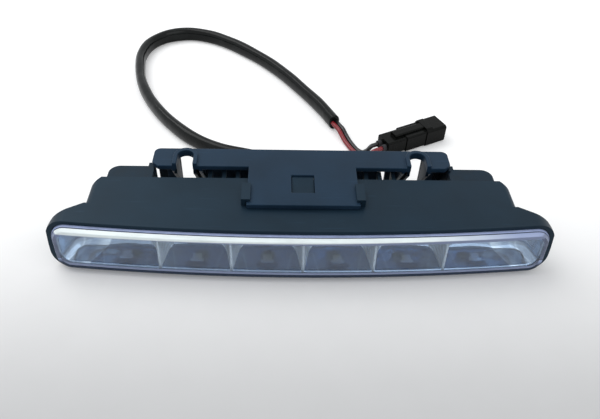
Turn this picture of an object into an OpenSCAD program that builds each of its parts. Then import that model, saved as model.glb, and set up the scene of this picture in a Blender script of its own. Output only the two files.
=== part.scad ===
// Daytime running light: a long lamp with a bowed clear front, six reflector cells in one row,
// a moulded housing closed at the back by a finned heat sink, a slotted T bracket that slides
// on along the top, and a sleeved lead with a two-way connector.
// X runs along the lamp, Y from the front to the back, Z up. The lamp stands on its flat underside.

/* [Housing] */
// Length of the lamp from end to end
lamp_w = 220; // [208:1:236]
// Height of the lamp
lamp_h = 26.4; // [25.6:0.2:30]
// How far the middle of the front stands ahead of its ends
bow = 6; // [4:0.5:7]
// Backward lean of the front face in degrees
rake = 5; // [0:1:7]
// Corner radius of the front outline
corner_r = 9; // [7:0.5:11]
// Wall of the housing
wall = 2; // [1.6:0.1:2.4]
// Depth of the wide front part, from the lens to the step
front_depth = 21; // [20:0.5:23]
// Depth from the lens to the back edge of the housing
body_depth = 38.5; // [37:0.5:44]
// Length of the narrower back part
back_w = 190; // [186:1:198]
// Corner radius along the edges of the back part
back_r = 3; // [2:0.5:5]
// Cut-off at the back corners, along the length
chamfer_w = 3.8; // [2:0.2:5]
// Cut-off at the back corners, along the depth
chamfer_d = 5.5; // [3:0.5:7]
// How far the ends draw in before the step
end_taper = 3.3; // [2:0.1:5]
// Depth over which the ends draw in
taper_d = 5; // [4:0.5:6]
// Depth of the slanted shoulders between the ends and the step
shoulder_d = 7; // [6:0.5:8]

/* [Lens] */
// Visible rim of the housing above and below the lens
rim = 2; // [1.7:0.1:2.4]
// Visible rim of the housing at the ends of the lens
rim_end = 2.5; // [2:0.1:4]
// How far the lens stands ahead of the rim
lens_stand = 3; // [2:0.5:3.5]
// Thickness of the clear front wall
lens_t = 2.2; // [1.8:0.1:2.6]
// Thickness of the clear side wall
skirt_t = 1.6; // [1.4:0.1:1.8]
// Height of the bevel along the front edges of the lens
bevel_h = 1.2; // [0.8:0.1:1.5]
// Depth of the bevel along the front edges of the lens
bevel_d = 2.6; // [1:0.2:2.8]
// Distance from the foremost line of the lens to the seat of its seal
seat_y = 11.3; // [11:0.1:12.4]
// Thickness of the lens seal
seal_t = 1.2; // [1:0.1:1.4]
// Thickness of the ledge that carries the seal
ledge_t = 1.6; // [1.4:0.1:2]
// Width of the ledge that carries the seal
ledge_w = 2.2; // [2:0.1:2.4]

/* [Light cells] */
// Distance from one light source to the next
led_pitch = 31; // [29:0.5:32]
// Height of the light sources above the underside
led_z = 16.4; // [15.6:0.2:17]
// Diameter of the round body of a light source
led_d = 8; // [7:0.2:8.4]
// Height of the round body of a light source
led_t = 1.2; // [1:0.1:1.4]
// Diameter of the clear dome on a light source
dome_d = 5; // [4:0.2:6]
// Distance from the lens to the face of the light board
board_y = 19.5; // [19:0.1:20]
// Thickness of the light board
board_t = 1.6; // [1:0.1:2]
// Length of the light board
board_w = 176; // [172:1:180]
// Height of the light board
board_h = 17.8; // [17:0.1:18]
// Thickness of the reflector where it lies on the board
floor_t = 1.4; // [1.2:0.1:1.6]
// Thickness of the edge between two cells and round them
edge_t = 0.8; // [0.7:0.1:1.2]
// Thickness of the reflector's walls behind the cells
shell_t = 1.3; // [1.1:0.1:1.5]

/* [Heat sink] */
// Thickness of the back plate
plate_t = 2.5; // [2:0.1:3]
// Thickness of the seal in front of the back plate
back_seal_t = 1; // [0.8:0.1:1.2]
// Length of the carrier behind the light board
carrier_w = 161; // [160:0.5:162]
// Height of the carrier behind the light board
carrier_h = 16.4; // [15:0.2:17]
// Thickness of the carrier behind the light board
carrier_t = 3; // [2.5:0.1:3.2]
// Thickness of the heat pad between board and carrier
pad_t = 0.5; // [0.3:0.1:0.7]
// Thickness of the inner webs
web_t = 2.4; // [2:0.1:2.8]
// Thickness of a cooling fin
fin_t = 1.8; // [1.4:0.1:2.4]
// Distance from one fin to the next
fin_pitch = 6.4; // [6:0.1:6.6]
// Fins on each side of the cable
fin_n = 5; // [3:1:5]
// Distance from the middle to the first fin
fin_x = 17.1; // [16:0.1:17.5]
// How far fins and end blocks stand behind the plate
fin_d = 8.5; // [7:0.5:9]
// Length of an end block
block_w = 17.5; // [16:0.5:18]
// Rounding at the outer corner of an end block
block_r = 5; // [3:0.5:6]
// Thickness of the stop post at the inner end of a block
post_t = 2.8; // [2:0.1:3]
// How far the stop post stands behind its block
post_d = 2.5; // [2:0.5:4]

/* [Bracket] */
// Thickness of the bracket plate
bracket_t = 2.4; // [2:0.1:3]
// Length of the bracket along its arms
arm_w = 139; // [136:1:144]
// Depth of the arms from front to back
arm_d = 13.2; // [12.5:0.1:14]
// Distance from the lens to the back edge of the bracket
bracket_back = 57.2; // [56:0.2:60]
// Length of the middle part along the lamp
tongue_w = 49.6; // [46:0.2:52]
// Distance from the lens to the front edge of the middle part
tongue_front = 18; // [16:0.5:19]
// Distance between the centres of the two screw slots
slot_gap = 108.6; // [106:0.2:112]
// Width of a screw slot
slot_w = 7.4; // [6.4:0.1:8]
// Wall round a screw slot
slot_wall = 2; // [1.6:0.1:2.4]
// How far the wall round a slot stands above the plate
slot_lip = 1.4; // [1:0.1:2]
// Distance from the back edge of the bracket to the end of a slot
slot_end = 3.2; // [3:0.1:3.6]
// Thickness of the flange down the back of the bracket
flange_t = 2.2; // [2:0.1:2.4]
// Height of the flange's lower edge above the ground
flange_z = 10; // [9:0.5:14]
// Thickness of the gussets beside the slots
gusset_t = 1.6; // [1.4:0.1:2]
// Width of the latch window
window_w = 10.3; // [9:0.1:12]
// Length of the latch window
window_d = 12; // [10:0.5:13]
// Distance from the latch window's back edge to the back of the bracket
window_back = 18.9; // [18.9:0.1:19.6]
// Height of the latch tongue above the housing
latch_h = 1.5; // [1.2:0.1:1.8]
// Thickness of the guide rails beside the middle part
rail_t = 2; // [1.6:0.1:2.4]
// Length of the guide rails
rail_d = 11; // [9:0.5:12]
// Thickness of the hooks over the middle part
hook_t = 1.1; // [1:0.1:1.6]
// How far the hooks reach over the middle part
hook_w = 1.6; // [1.2:0.1:2]

/* [Screws] */
// Shank diameter of all screws
screw_d = 3; // [2.6:0.1:3.2]
// Head diameter of all screws
head_d = 5.6; // [5.2:0.1:5.8]
// Height of a screw head
head_h = 2; // [1.6:0.1:2.2]
// Length of the screws that hold the heat sink
back_screw_l = 12; // [10:0.5:13]
// Depth of the pockets for their heads
pocket_d = 5; // [3:0.5:6]
// Diameter of the housing's screw bosses
boss_d = 5.8; // [5.4:0.1:6]
// Length of the screws that hold the light board
board_screw_l = 4.6; // [4:0.1:4.8]

/* [Driver] */
// Length of the driver board
driver_w = 66; // [60:1:70]
// Height of the driver board
driver_h = 15.4; // [14:0.2:16]
// Thickness of the driver board
driver_t = 1.2; // [1:0.1:1.6]
// Height of the posts that carry the driver board
standoff_h = 2.2; // [1.6:0.1:2.6]
// Outer diameter of the ring coil
coil_d = 12; // [10:0.5:13]
// Height of the ring coil
coil_h = 4.6; // [3:0.1:5]
// Diameter of the capacitors
cap_d = 6.3; // [5:0.1:6.5]
// Height of the capacitors
cap_h = 5; // [4:0.1:5.2]
// Side of the control chip
chip_w = 6; // [4:0.5:7]
// Height of the control chip
chip_h = 1.5; // [1:0.1:2]

/* [Lead] */
// Height of the flat sleeve, which stands on its edge
sleeve_w = 9; // [8:0.2:9]
// Thickness of the flat sleeve
sleeve_t = 6.4; // [5:0.2:7]
// Diameter of each wire
wire_d = 2.4; // [2:0.1:2.6]
// Height of the cable hole above the underside
cable_z = 10.5; // [10.4:0.1:11]
// Diameter of the neck of the grommet
grommet_d = 9.4; // [9:0.1:10]
// Diameter of the grommet's flanges
grommet_flange_d = 12; // [11.4:0.1:12.6]
// Thickness of each flange of the grommet
grommet_flange_t = 1.8; // [1.4:0.1:2]

/* [Connector] */
// Length of the connector
plug_l = 38; // [34:0.5:40]
// Width of the connector at its mouth
plug_w = 12.4; // [11.6:0.1:13]
// Height of the connector at its mouth
plug_h = 10.4; // [10:0.1:12]
// Length of the mouth collar
collar_l = 13; // [12:0.5:15]
// Length of the narrow tail
tail_l = 12; // [9:0.5:13]
// Step from the collar down to the middle part
plug_step = 0.5; // [0.3:0.1:0.7]
// Wall of the mouth
mouth_wall = 1.4; // [1.1:0.1:1.6]
// Depth of the socket in the mouth
socket_d = 11; // [8:0.5:12]
// Diameter of the contact pins
pin_d = 1.5; // [1:0.1:1.8]
// Distance between the two contacts
pin_gap = 4.4; // [4:0.1:4.8]
// Diameter of the wire seals
wire_seal_d = 3.8; // [3.4:0.1:4]
// How far the wire seals stand out of the tail
wire_seal_l = 2; // [1.5:0.1:2.5]

/* [Hidden] */
$fn = 96;

// Clearance of a loose fit and of a screw in its hole
fit = 0.3;
screw_fit = 0.2;
// A little extra so that cuts pass right through
cut = 1;
led_n = 6;

// The bowed front is part of a large drum that leans back by the rake
bow_r = (pow(lamp_w / 2, 2) + pow(bow, 2)) / (2 * bow);
nose = (lamp_h / 2 - rim - bevel_h) * tan(rake);
overall_depth = bracket_back + nose;
mid_z = lamp_h / 2;

lens_w = lamp_w - 2 * rim_end;
lens_h = lamp_h - 2 * rim;
lens_r = corner_r - rim;
skirt_back = seat_y - seal_t;
window_inset = ledge_w - fit;

reflector_gap = 0.6;
reflector_w = lens_w - 2 * skirt_t - 2 * fit;
reflector_h = lens_h - 2 * skirt_t - 2 * fit;
reflector_r = lens_r - skirt_t - fit;
reflector_front = lens_t + reflector_gap;
cell_back = board_y - floor_t;
led_hole_r = led_d / 2 + fit;
cell_throat_r = led_hole_r + 0.6;
pocket_share = 0.6;
pin_root_y = cell_back - (cell_back - reflector_front) * pocket_share - 0.4;
board_screw_x = [-2 * led_pitch, 0, 2 * led_pitch];
part_overlap = 6;

recess_w = back_w - 2 * wall - 2 * chamfer_w;
recess_h = lamp_h - 2 * wall;
recess_r = 2;
back_ledge_w = 2.2;
back_ledge_t = 2;
plate_y = body_depth - plate_t;
back_seal_y = plate_y - back_seal_t;
back_ledge_y = back_seal_y - back_ledge_t;
board_back = board_y + board_t;
carrier_y = board_back + pad_t;
carrier_back = carrier_y + carrier_t;
fin_end = body_depth + fin_d;
fin_h = recess_h - 2 * fit;
block_x = recess_w / 2 - fit - block_w;
block_top = lamp_h - 0.4;

boss_inset = back_ledge_w + fit + boss_d / 2;
boss_x = recess_w / 2 - boss_inset;
boss_dz = recess_h / 2 - boss_inset;
boss_front = carrier_back + 1;
screw_seat_y = fin_end - pocket_d;

slot_x = slot_gap / 2;
slot_r = slot_w / 2;
slot_y = bracket_back - slot_end - slot_r;
arm_front = bracket_back - arm_d;
bracket_z = lamp_h;
window_y = bracket_back - window_back - window_d;
flange_y = bracket_back - flange_t;
flange_in = slot_x - slot_r - slot_wall - 0.6;
flange_out = slot_x + slot_r + slot_wall - 1.2;
flange_end = arm_w / 2 - 4.5;
notch_x = 37.4;
notch_w = 3.6;
lead_clear_z = cable_z + sleeve_w / 2 + 4;

driver_y = carrier_back + standoff_h;
driver_back = driver_y + driver_t;
driver_bay = driver_w / 2 + 3;
driver_post_d = 4;
post_inset = 4;

grommet_y = body_depth + grommet_flange_t;
grommet_end = 50;

// Route of the sleeve: centre line, laid in a loop behind the lamp
sleeve_route = [
    [0, 50, 10.5], [0, 54, 10.5], [-3, 65, 8.6], [-12, 75.5, 5.9], [-26, 82, 4.6],
    [-42, 87, 4.5], [-57, 96.5, 4.5], [-70.5, 110, 4.5], [-81.5, 125, 4.5], [-90, 140.5, 4.5],
    [-96, 156, 4.5], [-99.5, 171.5, 4.5], [-101, 187, 4.5], [-98, 202, 4.5], [-88.5, 213.5, 4.5],
    [-74, 218, 4.5], [-59, 214.5, 4.5], [-44.5, 205.5, 4.5], [-31, 193.5, 4.5],
    [-18.5, 180, 4.5], [-7, 164.5, 4.5], [3.5, 147.5, 4.5], [12.5, 132, 4.5], [20.5, 115, 4.5]
];
// The connector lies on the ground with its tail at this point, turned away from +X
plug_at = [45.8, 92.9];
plug_turn = 27;
plug_mid_z = plug_h / 2;
plug_way = [cos(plug_turn), sin(plug_turn), 0];
wire_end = [plug_at[0], plug_at[1], plug_mid_z] - wire_seal_l * plug_way;
// Route of the pair of wires from the sleeve to the back of the connector, and how far each
// wire lies to its side
wire_route = [
    [20.5, 115, 4.5], [22.1, 111.6, 4.5], [23.7, 108.2, 4.5], [25.4, 104.6, 2.9], [27.2, 100.7, 1.7],
    [29.2, 96.4, 1.3], [31.4, 92.4, 1.3], [34, 90, 1.5], [37, 89.3, 2.9],
    wire_end - 4 * plug_way, wire_end - 2 * plug_way, wire_end
];
wire_spread = [1.3, 1.3, 1.3, 1.3, 1.3, 1.3, 1.3, 1.4, 1.7, 2.2, 2.2, 2.2];

// Moves a piece so that the origin is under the middle of the lamp and its bracket
module in_frame()
    translate([0, nose - overall_depth / 2, 0]) children();

// Rounded rectangle, centred
module rounded(w, h, r) {
    square([w - 2 * r, h], center = true);
    square([w, h - 2 * r], center = true);
    for (sx = [-1, 1], sz = [-1, 1])
        translate([sx * (w / 2 - r), sz * (h / 2 - r)]) circle(r);
}

// Extrudes a front-view outline from y0 back to y1, centred on the height of the lamp
module run_back(y0, y1)
    translate([0, y1, mid_z]) rotate([90, 0, 0]) linear_extrude(y1 - y0) children();

// All that lies behind the bowed, leaning front, set back by s
module behind_front(s)
    translate([0, s, mid_z]) rotate([-rake, 0, 0]) translate([0, bow_r, 0])
        cylinder(r = bow_r, h = 3 * lamp_h, center = true, $fn = 720);

// The same drum with its upper and lower edges bevelled to suit the lens
module bevelled_drum() {
    slope_h = bevel_h + cut;
    slope_d = bevel_d * slope_h / bevel_h;
    flat_h = lens_h - 2 * bevel_h;
    translate([0, 0, mid_z]) rotate([-rake, 0, 0]) translate([0, bow_r, 0]) {
        cylinder(r = bow_r, h = flat_h, center = true, $fn = 720);
        for (side = [0, 180]) rotate([side, 0, 0]) translate([0, 0, flat_h / 2])
            cylinder(r1 = bow_r, r2 = bow_r - slope_d, h = slope_h, $fn = 720);
    }
}

// Round bar along Y from y0 to y1
module bar(x, z, d, y0, y1)
    translate([x, y0, z]) rotate([-90, 0, 0]) cylinder(d = d, h = y1 - y0);

// Clear cover: bowed front wall with bevelled edges, and a skirt back to the seal
module lens() in_frame() color("#c9d6ee") difference() {
    intersection() {
        run_back(-bow, skirt_back) rounded(lens_w, lens_h, lens_r);
        bevelled_drum();
    }
    intersection() {
        run_back(-bow, skirt_back + cut)
            rounded(lens_w - 2 * skirt_t, lens_h - 2 * skirt_t, lens_r - skirt_t);
        behind_front(lens_t);
    }
}

// Rubber ring between the lens skirt and the ledge of the housing
module lens_seal() in_frame() color("#202226")
    run_back(skirt_back, seat_y) difference() {
        rounded(lens_w, lens_h, lens_r);
        rounded(lens_w - 2 * window_inset, lens_h - 2 * window_inset, lens_r - window_inset);
    }

// Plan of the wide front part, whose ends draw in towards the step, drawn in all round by t
module front_plan(t) {
    slant = t * norm([(lamp_w - back_w) / 2 - end_taper, shoulder_d]) / shoulder_d;
    x0 = lamp_w / 2 - t;
    x1 = lamp_w / 2 - end_taper - (t + slant) / 2;
    x2 = back_w / 2 - slant;
    y1 = front_depth - shoulder_d;
    polygon([
        [-x0, -2 * bow], [x0, -2 * bow], [x0, y1 - taper_d], [x1, y1], [x2, front_depth],
        [-x2, front_depth], [-x1, y1], [-x0, y1 - taper_d]
    ]);
}

// Plan of the back part, drawn in all round by t and running on past its back edge by run
module back_plan(t, run) polygon([
    [t - back_w / 2, front_depth - part_overlap], [back_w / 2 - t, front_depth - part_overlap],
    [back_w / 2 - t, body_depth - chamfer_d], [back_w / 2 - t - chamfer_w, body_depth],
    [back_w / 2 - t - chamfer_w, body_depth + run], [t + chamfer_w - back_w / 2, body_depth + run],
    [t + chamfer_w - back_w / 2, body_depth], [t - back_w / 2, body_depth - chamfer_d]
]);

module housing_outside() {
    intersection() {
        run_back(-bow, front_depth) rounded(lamp_w, lamp_h, corner_r);
        behind_front(lens_stand);
        linear_extrude(lamp_h) front_plan(0);
    }
    intersection() {
        run_back(front_depth - part_overlap, body_depth) rounded(back_w, lamp_h, back_r);
        linear_extrude(lamp_h) back_plan(0, 0);
    }
}

// Space inside: pocket for the lens, window behind its seal, chamber and recess at the back
module housing_inside() {
    run_back(-2 * bow, seat_y) rounded(lens_w + 2 * fit, lens_h + 2 * fit, lens_r + fit);
    intersection() {
        run_back(seat_y - cut, front_depth - wall)
            rounded(lens_w - 2 * window_inset, lens_h - 2 * window_inset, lens_r - window_inset);
        linear_extrude(lamp_h) front_plan(wall);
    }
    translate([wall - back_w / 2, seat_y + ledge_t, wall])
        cube([back_w - 2 * wall, body_depth - chamfer_d - seat_y - ledge_t, recess_h]);
    run_back(body_depth - chamfer_d - cut, back_ledge_y) rounded(recess_w, recess_h, recess_r);
    run_back(back_ledge_y - cut, back_seal_y + cut)
        rounded(recess_w - 2 * back_ledge_w, recess_h - 2 * back_ledge_w, recess_r);
    run_back(back_seal_y, body_depth + cut) rounded(recess_w, recess_h, recess_r);
}

// Bosses for the screws of the heat sink, each tied to the nearest wall by a rib
module screw_bosses()
    for (sx = [-1, 1], sz = [-1, 1]) {
        bar(sx * boss_x, mid_z + sz * boss_dz, boss_d, boss_front, plate_y);
        translate([sx * boss_x - wall / 2, boss_front, sz > 0 ? mid_z + boss_dz : wall / 2])
            cube([wall, back_seal_y - boss_front, mid_z - boss_dz - wall / 2]);
    }

// Hooked rail that the edge of the bracket's middle part slides under, on one side
module guide_rail() {
    rail_x = tongue_w / 2 + fit;
    rail_top = bracket_t + fit + hook_t;
    translate([0, front_depth + rail_d - cut, bracket_z]) rotate([90, 0, 0]) linear_extrude(rail_d)
        polygon([
            [rail_x, -wall / 2], [rail_x + rail_t, -wall / 2], [rail_x + rail_t, rail_top],
            [tongue_w / 2 - hook_w, rail_top], [tongue_w / 2 - hook_w, rail_top - hook_t],
            [rail_x, rail_top - hook_t]
        ]);
}

// Ramp that snaps into the window of the bracket, level for its last stretch
module latch_ramp() {
    ramp_front = window_y + fit;
    ramp_back = window_y + window_d - fit;
    level_l = 3;
    translate([fit - window_w / 2, 0, bracket_z]) rotate([90, 0, 90])
        linear_extrude(window_w - 2 * fit) polygon([
            [ramp_front, -wall / 2], [ramp_back, -wall / 2], [ramp_back, latch_h],
            [ramp_back - level_l, latch_h], [ramp_front, 0]
        ]);
}

// Moulded body with rim, ledges, screw bosses, guide rails and latch ramp
module front_housing() in_frame() color("#2c3846") difference() {
    union() {
        difference() {
            housing_outside();
            housing_inside();
        }
        screw_bosses();
        guide_rail();
        mirror([1, 0, 0]) guide_rail();
        latch_ramp();
    }
    for (sx = [-1, 1], sz = [-1, 1])
        bar(sx * boss_x, mid_z + sz * boss_dz, screw_d + screw_fit,
            plate_y - back_screw_l, plate_y + cut);
}

// Place of light source i, and how far the front of the lamp has drawn back at x
function led_x(i) = (i - (led_n - 1) / 2) * led_pitch;
function front_y(x, z) = bow_r - sqrt(pow(bow_r, 2) - pow(x, 2)) + (z - mid_z) * tan(rake);

// Edge of a cell's mouth seen from the front, as steps round a box about its light source
function mouth_edge(x0, x1, z0, z1, nx, nz) = concat(
    [for (k = [0 : nx - 1]) [x0 + (x1 - x0) * k / nx, z0]],
    [for (k = [0 : nz - 1]) [x1, z0 + (z1 - z0) * k / nz]],
    [for (k = [0 : nx - 1]) [x1 + (x0 - x1) * k / nx, z1]],
    [for (k = [0 : nz - 1]) [x0, z1 + (z0 - z1) * k / nz]]
);

// A ray of the cell runs out on a parabola from the throat at u = 0 to the mouth at u = 1
function ray_r(m, u) = sqrt(pow(cell_throat_r, 2) + (m * m - pow(cell_throat_r, 2)) * u);

// Hollow of cell i: a trumpet from the round throat to the box-shaped mouth, and on to the lens
module cell_hollow(i) {
    steps = 6;
    last = led_n - 1;
    inner = led_pitch / 2 - edge_t / 2;
    outer = reflector_w / 2 - edge_t - led_x(last);
    left = i == 0 ? outer : inner;
    right = i == last ? outer : inner;
    low = led_z - mid_z + reflector_h / 2 - edge_t;
    high = reflector_h / 2 - edge_t - led_z + mid_z;
    rim_pts = mouth_edge(-left, right, -low, high, 8, 4);
    n = len(rim_pts);
    pts = concat(
        [for (s = [0 : steps], p = rim_pts)
            let (u = s / steps, m = norm(p), k = ray_r(m, u) / m, x = led_x(i) + p[0])
            let (y1 = front_y(x, led_z + p[1]) + reflector_front - cut / 2)
            [led_x(i) + p[0] * k, cell_back + (y1 - cell_back) * u, led_z + p[1] * k]],
        [for (p = rim_pts) [led_x(i) + p[0], -2 * bow, led_z + p[1]]],
        [[led_x(i), cell_back, led_z], [led_x(i), -2 * bow, led_z]]
    );
    ends = (steps + 2) * n;
    polyhedron(
        points = pts,
        faces = concat(
            [for (k = [0 : n - 1]) [ends, k, (k + 1) % n]],
            [for (s = [0 : steps], k = [0 : n - 1])
                [s * n + k, (s + 1) * n + (k + 1) % n, s * n + (k + 1) % n]],
            [for (s = [0 : steps], k = [0 : n - 1])
                [s * n + k, (s + 1) * n + k, (s + 1) * n + (k + 1) % n]],
            [for (k = [0 : n - 1])
                [ends + 1, (steps + 1) * n + (k + 1) % n, (steps + 1) * n + k]]
        )
    );
}

// Hollow behind the wall between two cells, open to the back
module wall_pocket(x) {
    depth = cell_back - reflector_front;
    half_at = function(y) led_pitch / 2 - shell_t - ray_r(led_pitch / 2, (cell_back - y) / depth);
    ys = [for (k = [0 : 4]) cell_back - depth * pocket_share * k / 4];
    translate([x, 0, led_z - cell_throat_r]) linear_extrude(2 * cell_throat_r) polygon(concat(
        [[half_at(cell_back), board_y + cut]], [for (y = ys) [half_at(y), y]],
        [for (k = [4 : -1 : 0]) [-half_at(ys[k]), ys[k]]], [[-half_at(cell_back), board_y + cut]]
    ));
}

// Bright moulding with six trumpet-shaped cells, seated on the light board by two pins
module reflector() in_frame() color("#8d9ab0") {
    difference() {
        intersection() {
            union() {
                run_back(-bow, front_depth - wall - fit)
                    rounded(reflector_w, reflector_h, reflector_r);
                run_back(seat_y, board_y)
                    rounded(back_w - 2 * wall - 2 * fit, reflector_h, reflector_r);
            }
            behind_front(reflector_front);
            linear_extrude(lamp_h) front_plan(wall + fit);
        }
        for (i = [0 : led_n - 1]) {
            cell_hollow(i);
            bar(led_x(i), led_z, 2 * led_hole_r, cell_back - cut, board_y + cut);
        }
        for (i = [0 : led_n - 2]) wall_pocket(led_x(i) + led_pitch / 2);
    }
    for (sx = [-1, 1]) {
        bar(sx * led_pitch, led_z, screw_d + 1.6, pin_root_y, board_y);
        bar(sx * led_pitch, led_z, screw_d, board_y, board_back);
    }
}

// Light source: round body on the board with a domed top
module led(i) in_frame() color("#e8e4c8") {
    sag = 1.6;
    dome_r = (pow(dome_d / 2, 2) + sag * sag) / (2 * sag);
    bar(led_x(i), led_z, led_d, board_y - led_t, board_y);
    translate([led_x(i), board_y - led_t, led_z]) rotate([90, 0, 0]) rotate_extrude()
        intersection() {
            translate([0, sag - dome_r]) circle(dome_r);
            square([dome_d, sag + cut]);
        }
}

// Metal-cored board with the holes for its screws and the reflector's pins
module light_board() in_frame() color("#e9edf0") difference() {
    run_back(board_y, board_back) rounded(board_w, board_h, 2);
    for (x = board_screw_x) bar(x, led_z, screw_d + 2 * screw_fit, board_y - cut, board_back + cut);
    for (sx = [-1, 1])
        bar(sx * led_pitch, led_z, screw_d + 2 * screw_fit, board_y - cut, board_back + cut);
}

// Soft pad that carries heat from the board to the heat sink
module heat_pad() in_frame() color("#9db0c8") difference() {
    margin = 0.8;
    run_back(board_back, carrier_y) rounded(carrier_w - 2 * margin, carrier_h - 2 * margin, 1);
    for (x = board_screw_x) bar(x, led_z, screw_d + 1, board_back - cut, carrier_y + cut);
}

// One end block of the heat sink with its stop post, on the right-hand side
module end_block() {
    x1 = block_x + block_w;
    translate([0, 0, wall + fit]) linear_extrude(block_top - wall - fit) {
        translate([block_x, body_depth]) square([block_w - block_r, fin_d]);
        translate([block_x, body_depth]) square([block_w, fin_d - block_r]);
        intersection() {
            translate([x1 - block_r, fin_end - block_r]) circle(block_r);
            translate([x1 - block_r, fin_end - block_r]) square(block_r);
        }
        translate([block_x - post_t, body_depth]) square([post_t, fin_d + post_d]);
    }
}

// Cast heat sink: back plate, fins and end blocks outside, carrier and webs inside
module heat_sink() in_frame() color("#2a343f") difference() {
    union() {
        run_back(plate_y, body_depth) rounded(recess_w - 2 * fit, recess_h - 2 * fit, recess_r - fit);
        for (sx = [-1, 1], k = [0 : fin_n - 1])
            translate([sx * (fin_x + k * fin_pitch) - fin_t / 2, body_depth, wall + fit])
                cube([fin_t, fin_d, fin_h]);
        end_block();
        mirror([1, 0, 0]) end_block();
        run_back(carrier_y, carrier_back) rounded(carrier_w, carrier_h, 1);
        for (sx = [-1, 1], sz = [-1, 1])
            translate([sx > 0 ? driver_bay : -carrier_w / 2, carrier_back,
                    mid_z + sz * (carrier_h - web_t) / 2 - web_t / 2])
                cube([carrier_w / 2 - driver_bay, plate_y - carrier_back, web_t]);
        for (sx = [-1, 1])
            translate([sx * (driver_bay + web_t / 2) - web_t / 2, carrier_back, mid_z - carrier_h / 2])
                cube([web_t, plate_y - carrier_back, carrier_h]);
        for (sx = [-1, 1])
            bar(sx * (driver_w / 2 - post_inset), mid_z, driver_post_d, carrier_back, driver_y);
    }
    for (x = board_screw_x) bar(x, led_z, screw_d + screw_fit, carrier_y - cut, carrier_back + cut);
    bar(0, cable_z, grommet_d + screw_fit, plate_y - cut, body_depth + cut);
    for (sx = [-1, 1], sz = [-1, 1]) {
        bar(sx * boss_x, mid_z + sz * boss_dz, screw_d + 2 * screw_fit, plate_y - cut, fin_end + cut);
        bar(sx * boss_x, mid_z + sz * boss_dz, head_d + 2 * screw_fit, screw_seat_y, fin_end + cut);
    }
}

// Rubber frame between the housing's back ledge and the heat sink
module back_seal() in_frame() color("#202226")
    run_back(back_seal_y, plate_y) difference() {
        rounded(recess_w - 2 * fit, recess_h - 2 * fit, recess_r - fit);
        rounded(recess_w - 2 * back_ledge_w, recess_h - 2 * back_ledge_w, recess_r);
    }

// Circuit board of the driver, on two posts behind the carrier
module driver_board() in_frame() color("#2f6b45")
    run_back(driver_y, driver_back) rounded(driver_w, driver_h, 1);

module ring_coil() in_frame() color("#b87333")
    translate([-driver_w / 2 + coil_d / 2 + 3, driver_back, mid_z]) rotate([-90, 0, 0])
        rotate_extrude() translate([coil_d / 4, 0]) square([coil_d / 4, coil_h]);

module capacitors() in_frame() color("#3a3f46")
    for (k = [0, 1])
        bar(driver_w / 2 - cap_d / 2 - 3 - k * (cap_d + 2), mid_z, cap_d, driver_back,
            driver_back + cap_h);

module control_chip() in_frame() color("#1c1e22")
    translate([-chip_w / 2, driver_back, mid_z]) cube([chip_w, chip_h, chip_w * 0.8]);

// Screw along Y whose head sits at seat and whose shank points to the front or the back
module screw(x, z, seat, l, way) {
    bar(x, z, screw_d, way > 0 ? seat : seat - l, way > 0 ? seat + l : seat);
    difference() {
        bar(x, z, head_d, way > 0 ? seat - head_h : seat, way > 0 ? seat : seat + head_h);
        translate([x, way > 0 ? seat - head_h - cut : seat + head_h - 1, z]) rotate([-90, 0, 0])
            for (a = [0, 90]) rotate([0, 0, a])
                translate([-head_d / 4, -0.5, 0]) cube([head_d / 2, 1, 1 + cut]);
    }
}

module board_screws() in_frame() color("#b8bcc2")
    for (x = board_screw_x) screw(x, led_z, board_y, board_screw_l, 1);

module back_screws() in_frame() color("#8a8f96")
    for (sx = [-1, 1], sz = [-1, 1])
        screw(sx * boss_x, mid_z + sz * boss_dz, screw_seat_y, back_screw_l, -1);

// Rubber grommet gripping the back plate, with a tapered tail moulded round the lead
module cable_grommet() in_frame() color("#191b1e") {
    flange_r = grommet_flange_d / 2;
    neck_end = grommet_flange_t + plate_t;
    tail_start = neck_end + grommet_flange_t;
    tail_end = tail_start + grommet_end - grommet_y;
    tail_wall = 1.2;
    tip_wall = 0.4;
    translate([0, plate_y - grommet_flange_t, cable_z]) rotate([-90, 0, 0]) rotate_extrude() polygon([
        [0, 0], [flange_r, 0], [flange_r, grommet_flange_t], [grommet_d / 2, grommet_flange_t],
        [grommet_d / 2, neck_end], [flange_r, neck_end], [flange_r, tail_start],
        [sleeve_w / 2 + tail_wall, tail_start], [sleeve_w / 2 + tip_wall, tail_end], [0, tail_end]
    ]);
}

// Plan of the bracket: arms along the back and the middle part running forward over the lamp
module bracket_plan() {
    edge_r = 3;
    half = arm_w / 2;
    polygon([
        [-half, arm_front + edge_r], [edge_r - half, arm_front], [half - edge_r, arm_front],
        [half, arm_front + edge_r], [half, bracket_back - edge_r], [half - edge_r, bracket_back],
        [edge_r - half, bracket_back], [-half, bracket_back - edge_r]
    ]);
    for (sx = [-1, 1]) translate([sx * (half - edge_r), bracket_back - edge_r]) circle(edge_r);
    translate([-tongue_w / 2, tongue_front]) square([tongue_w, bracket_back - tongue_front]);
}

// Plan of the slot on one side, widened all round by t and running out at the front
module slot_plan(t) {
    translate([slot_x, slot_y]) circle(slot_r + t);
    translate([slot_x - slot_r - t, arm_front - (t > 0 ? 0 : cut)])
        square([2 * (slot_r + t), slot_y - arm_front + (t > 0 ? 0 : cut)]);
}

// Flange of one side of the bracket with the gussets that brace it beside the slot
module bracket_flange() {
    inside_plate = bracket_z + bracket_t / 2;
    inside_flange = flange_y + flange_t / 2;
    toe_h = 0.8;
    translate([0, flange_y, flange_z]) cube([flange_in, flange_t, inside_plate - flange_z]);
    translate([flange_out, flange_y, flange_z])
        cube([flange_end - flange_out, flange_t, inside_plate - flange_z]);
    for (x = [flange_in - gusset_t, flange_out])
        translate([x, 0, 0]) rotate([90, 0, 90]) linear_extrude(gusset_t) polygon([
            [arm_front, inside_plate], [arm_front, bracket_z - toe_h],
            [inside_flange, flange_z], [inside_flange, inside_plate]
        ]);
}

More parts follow.
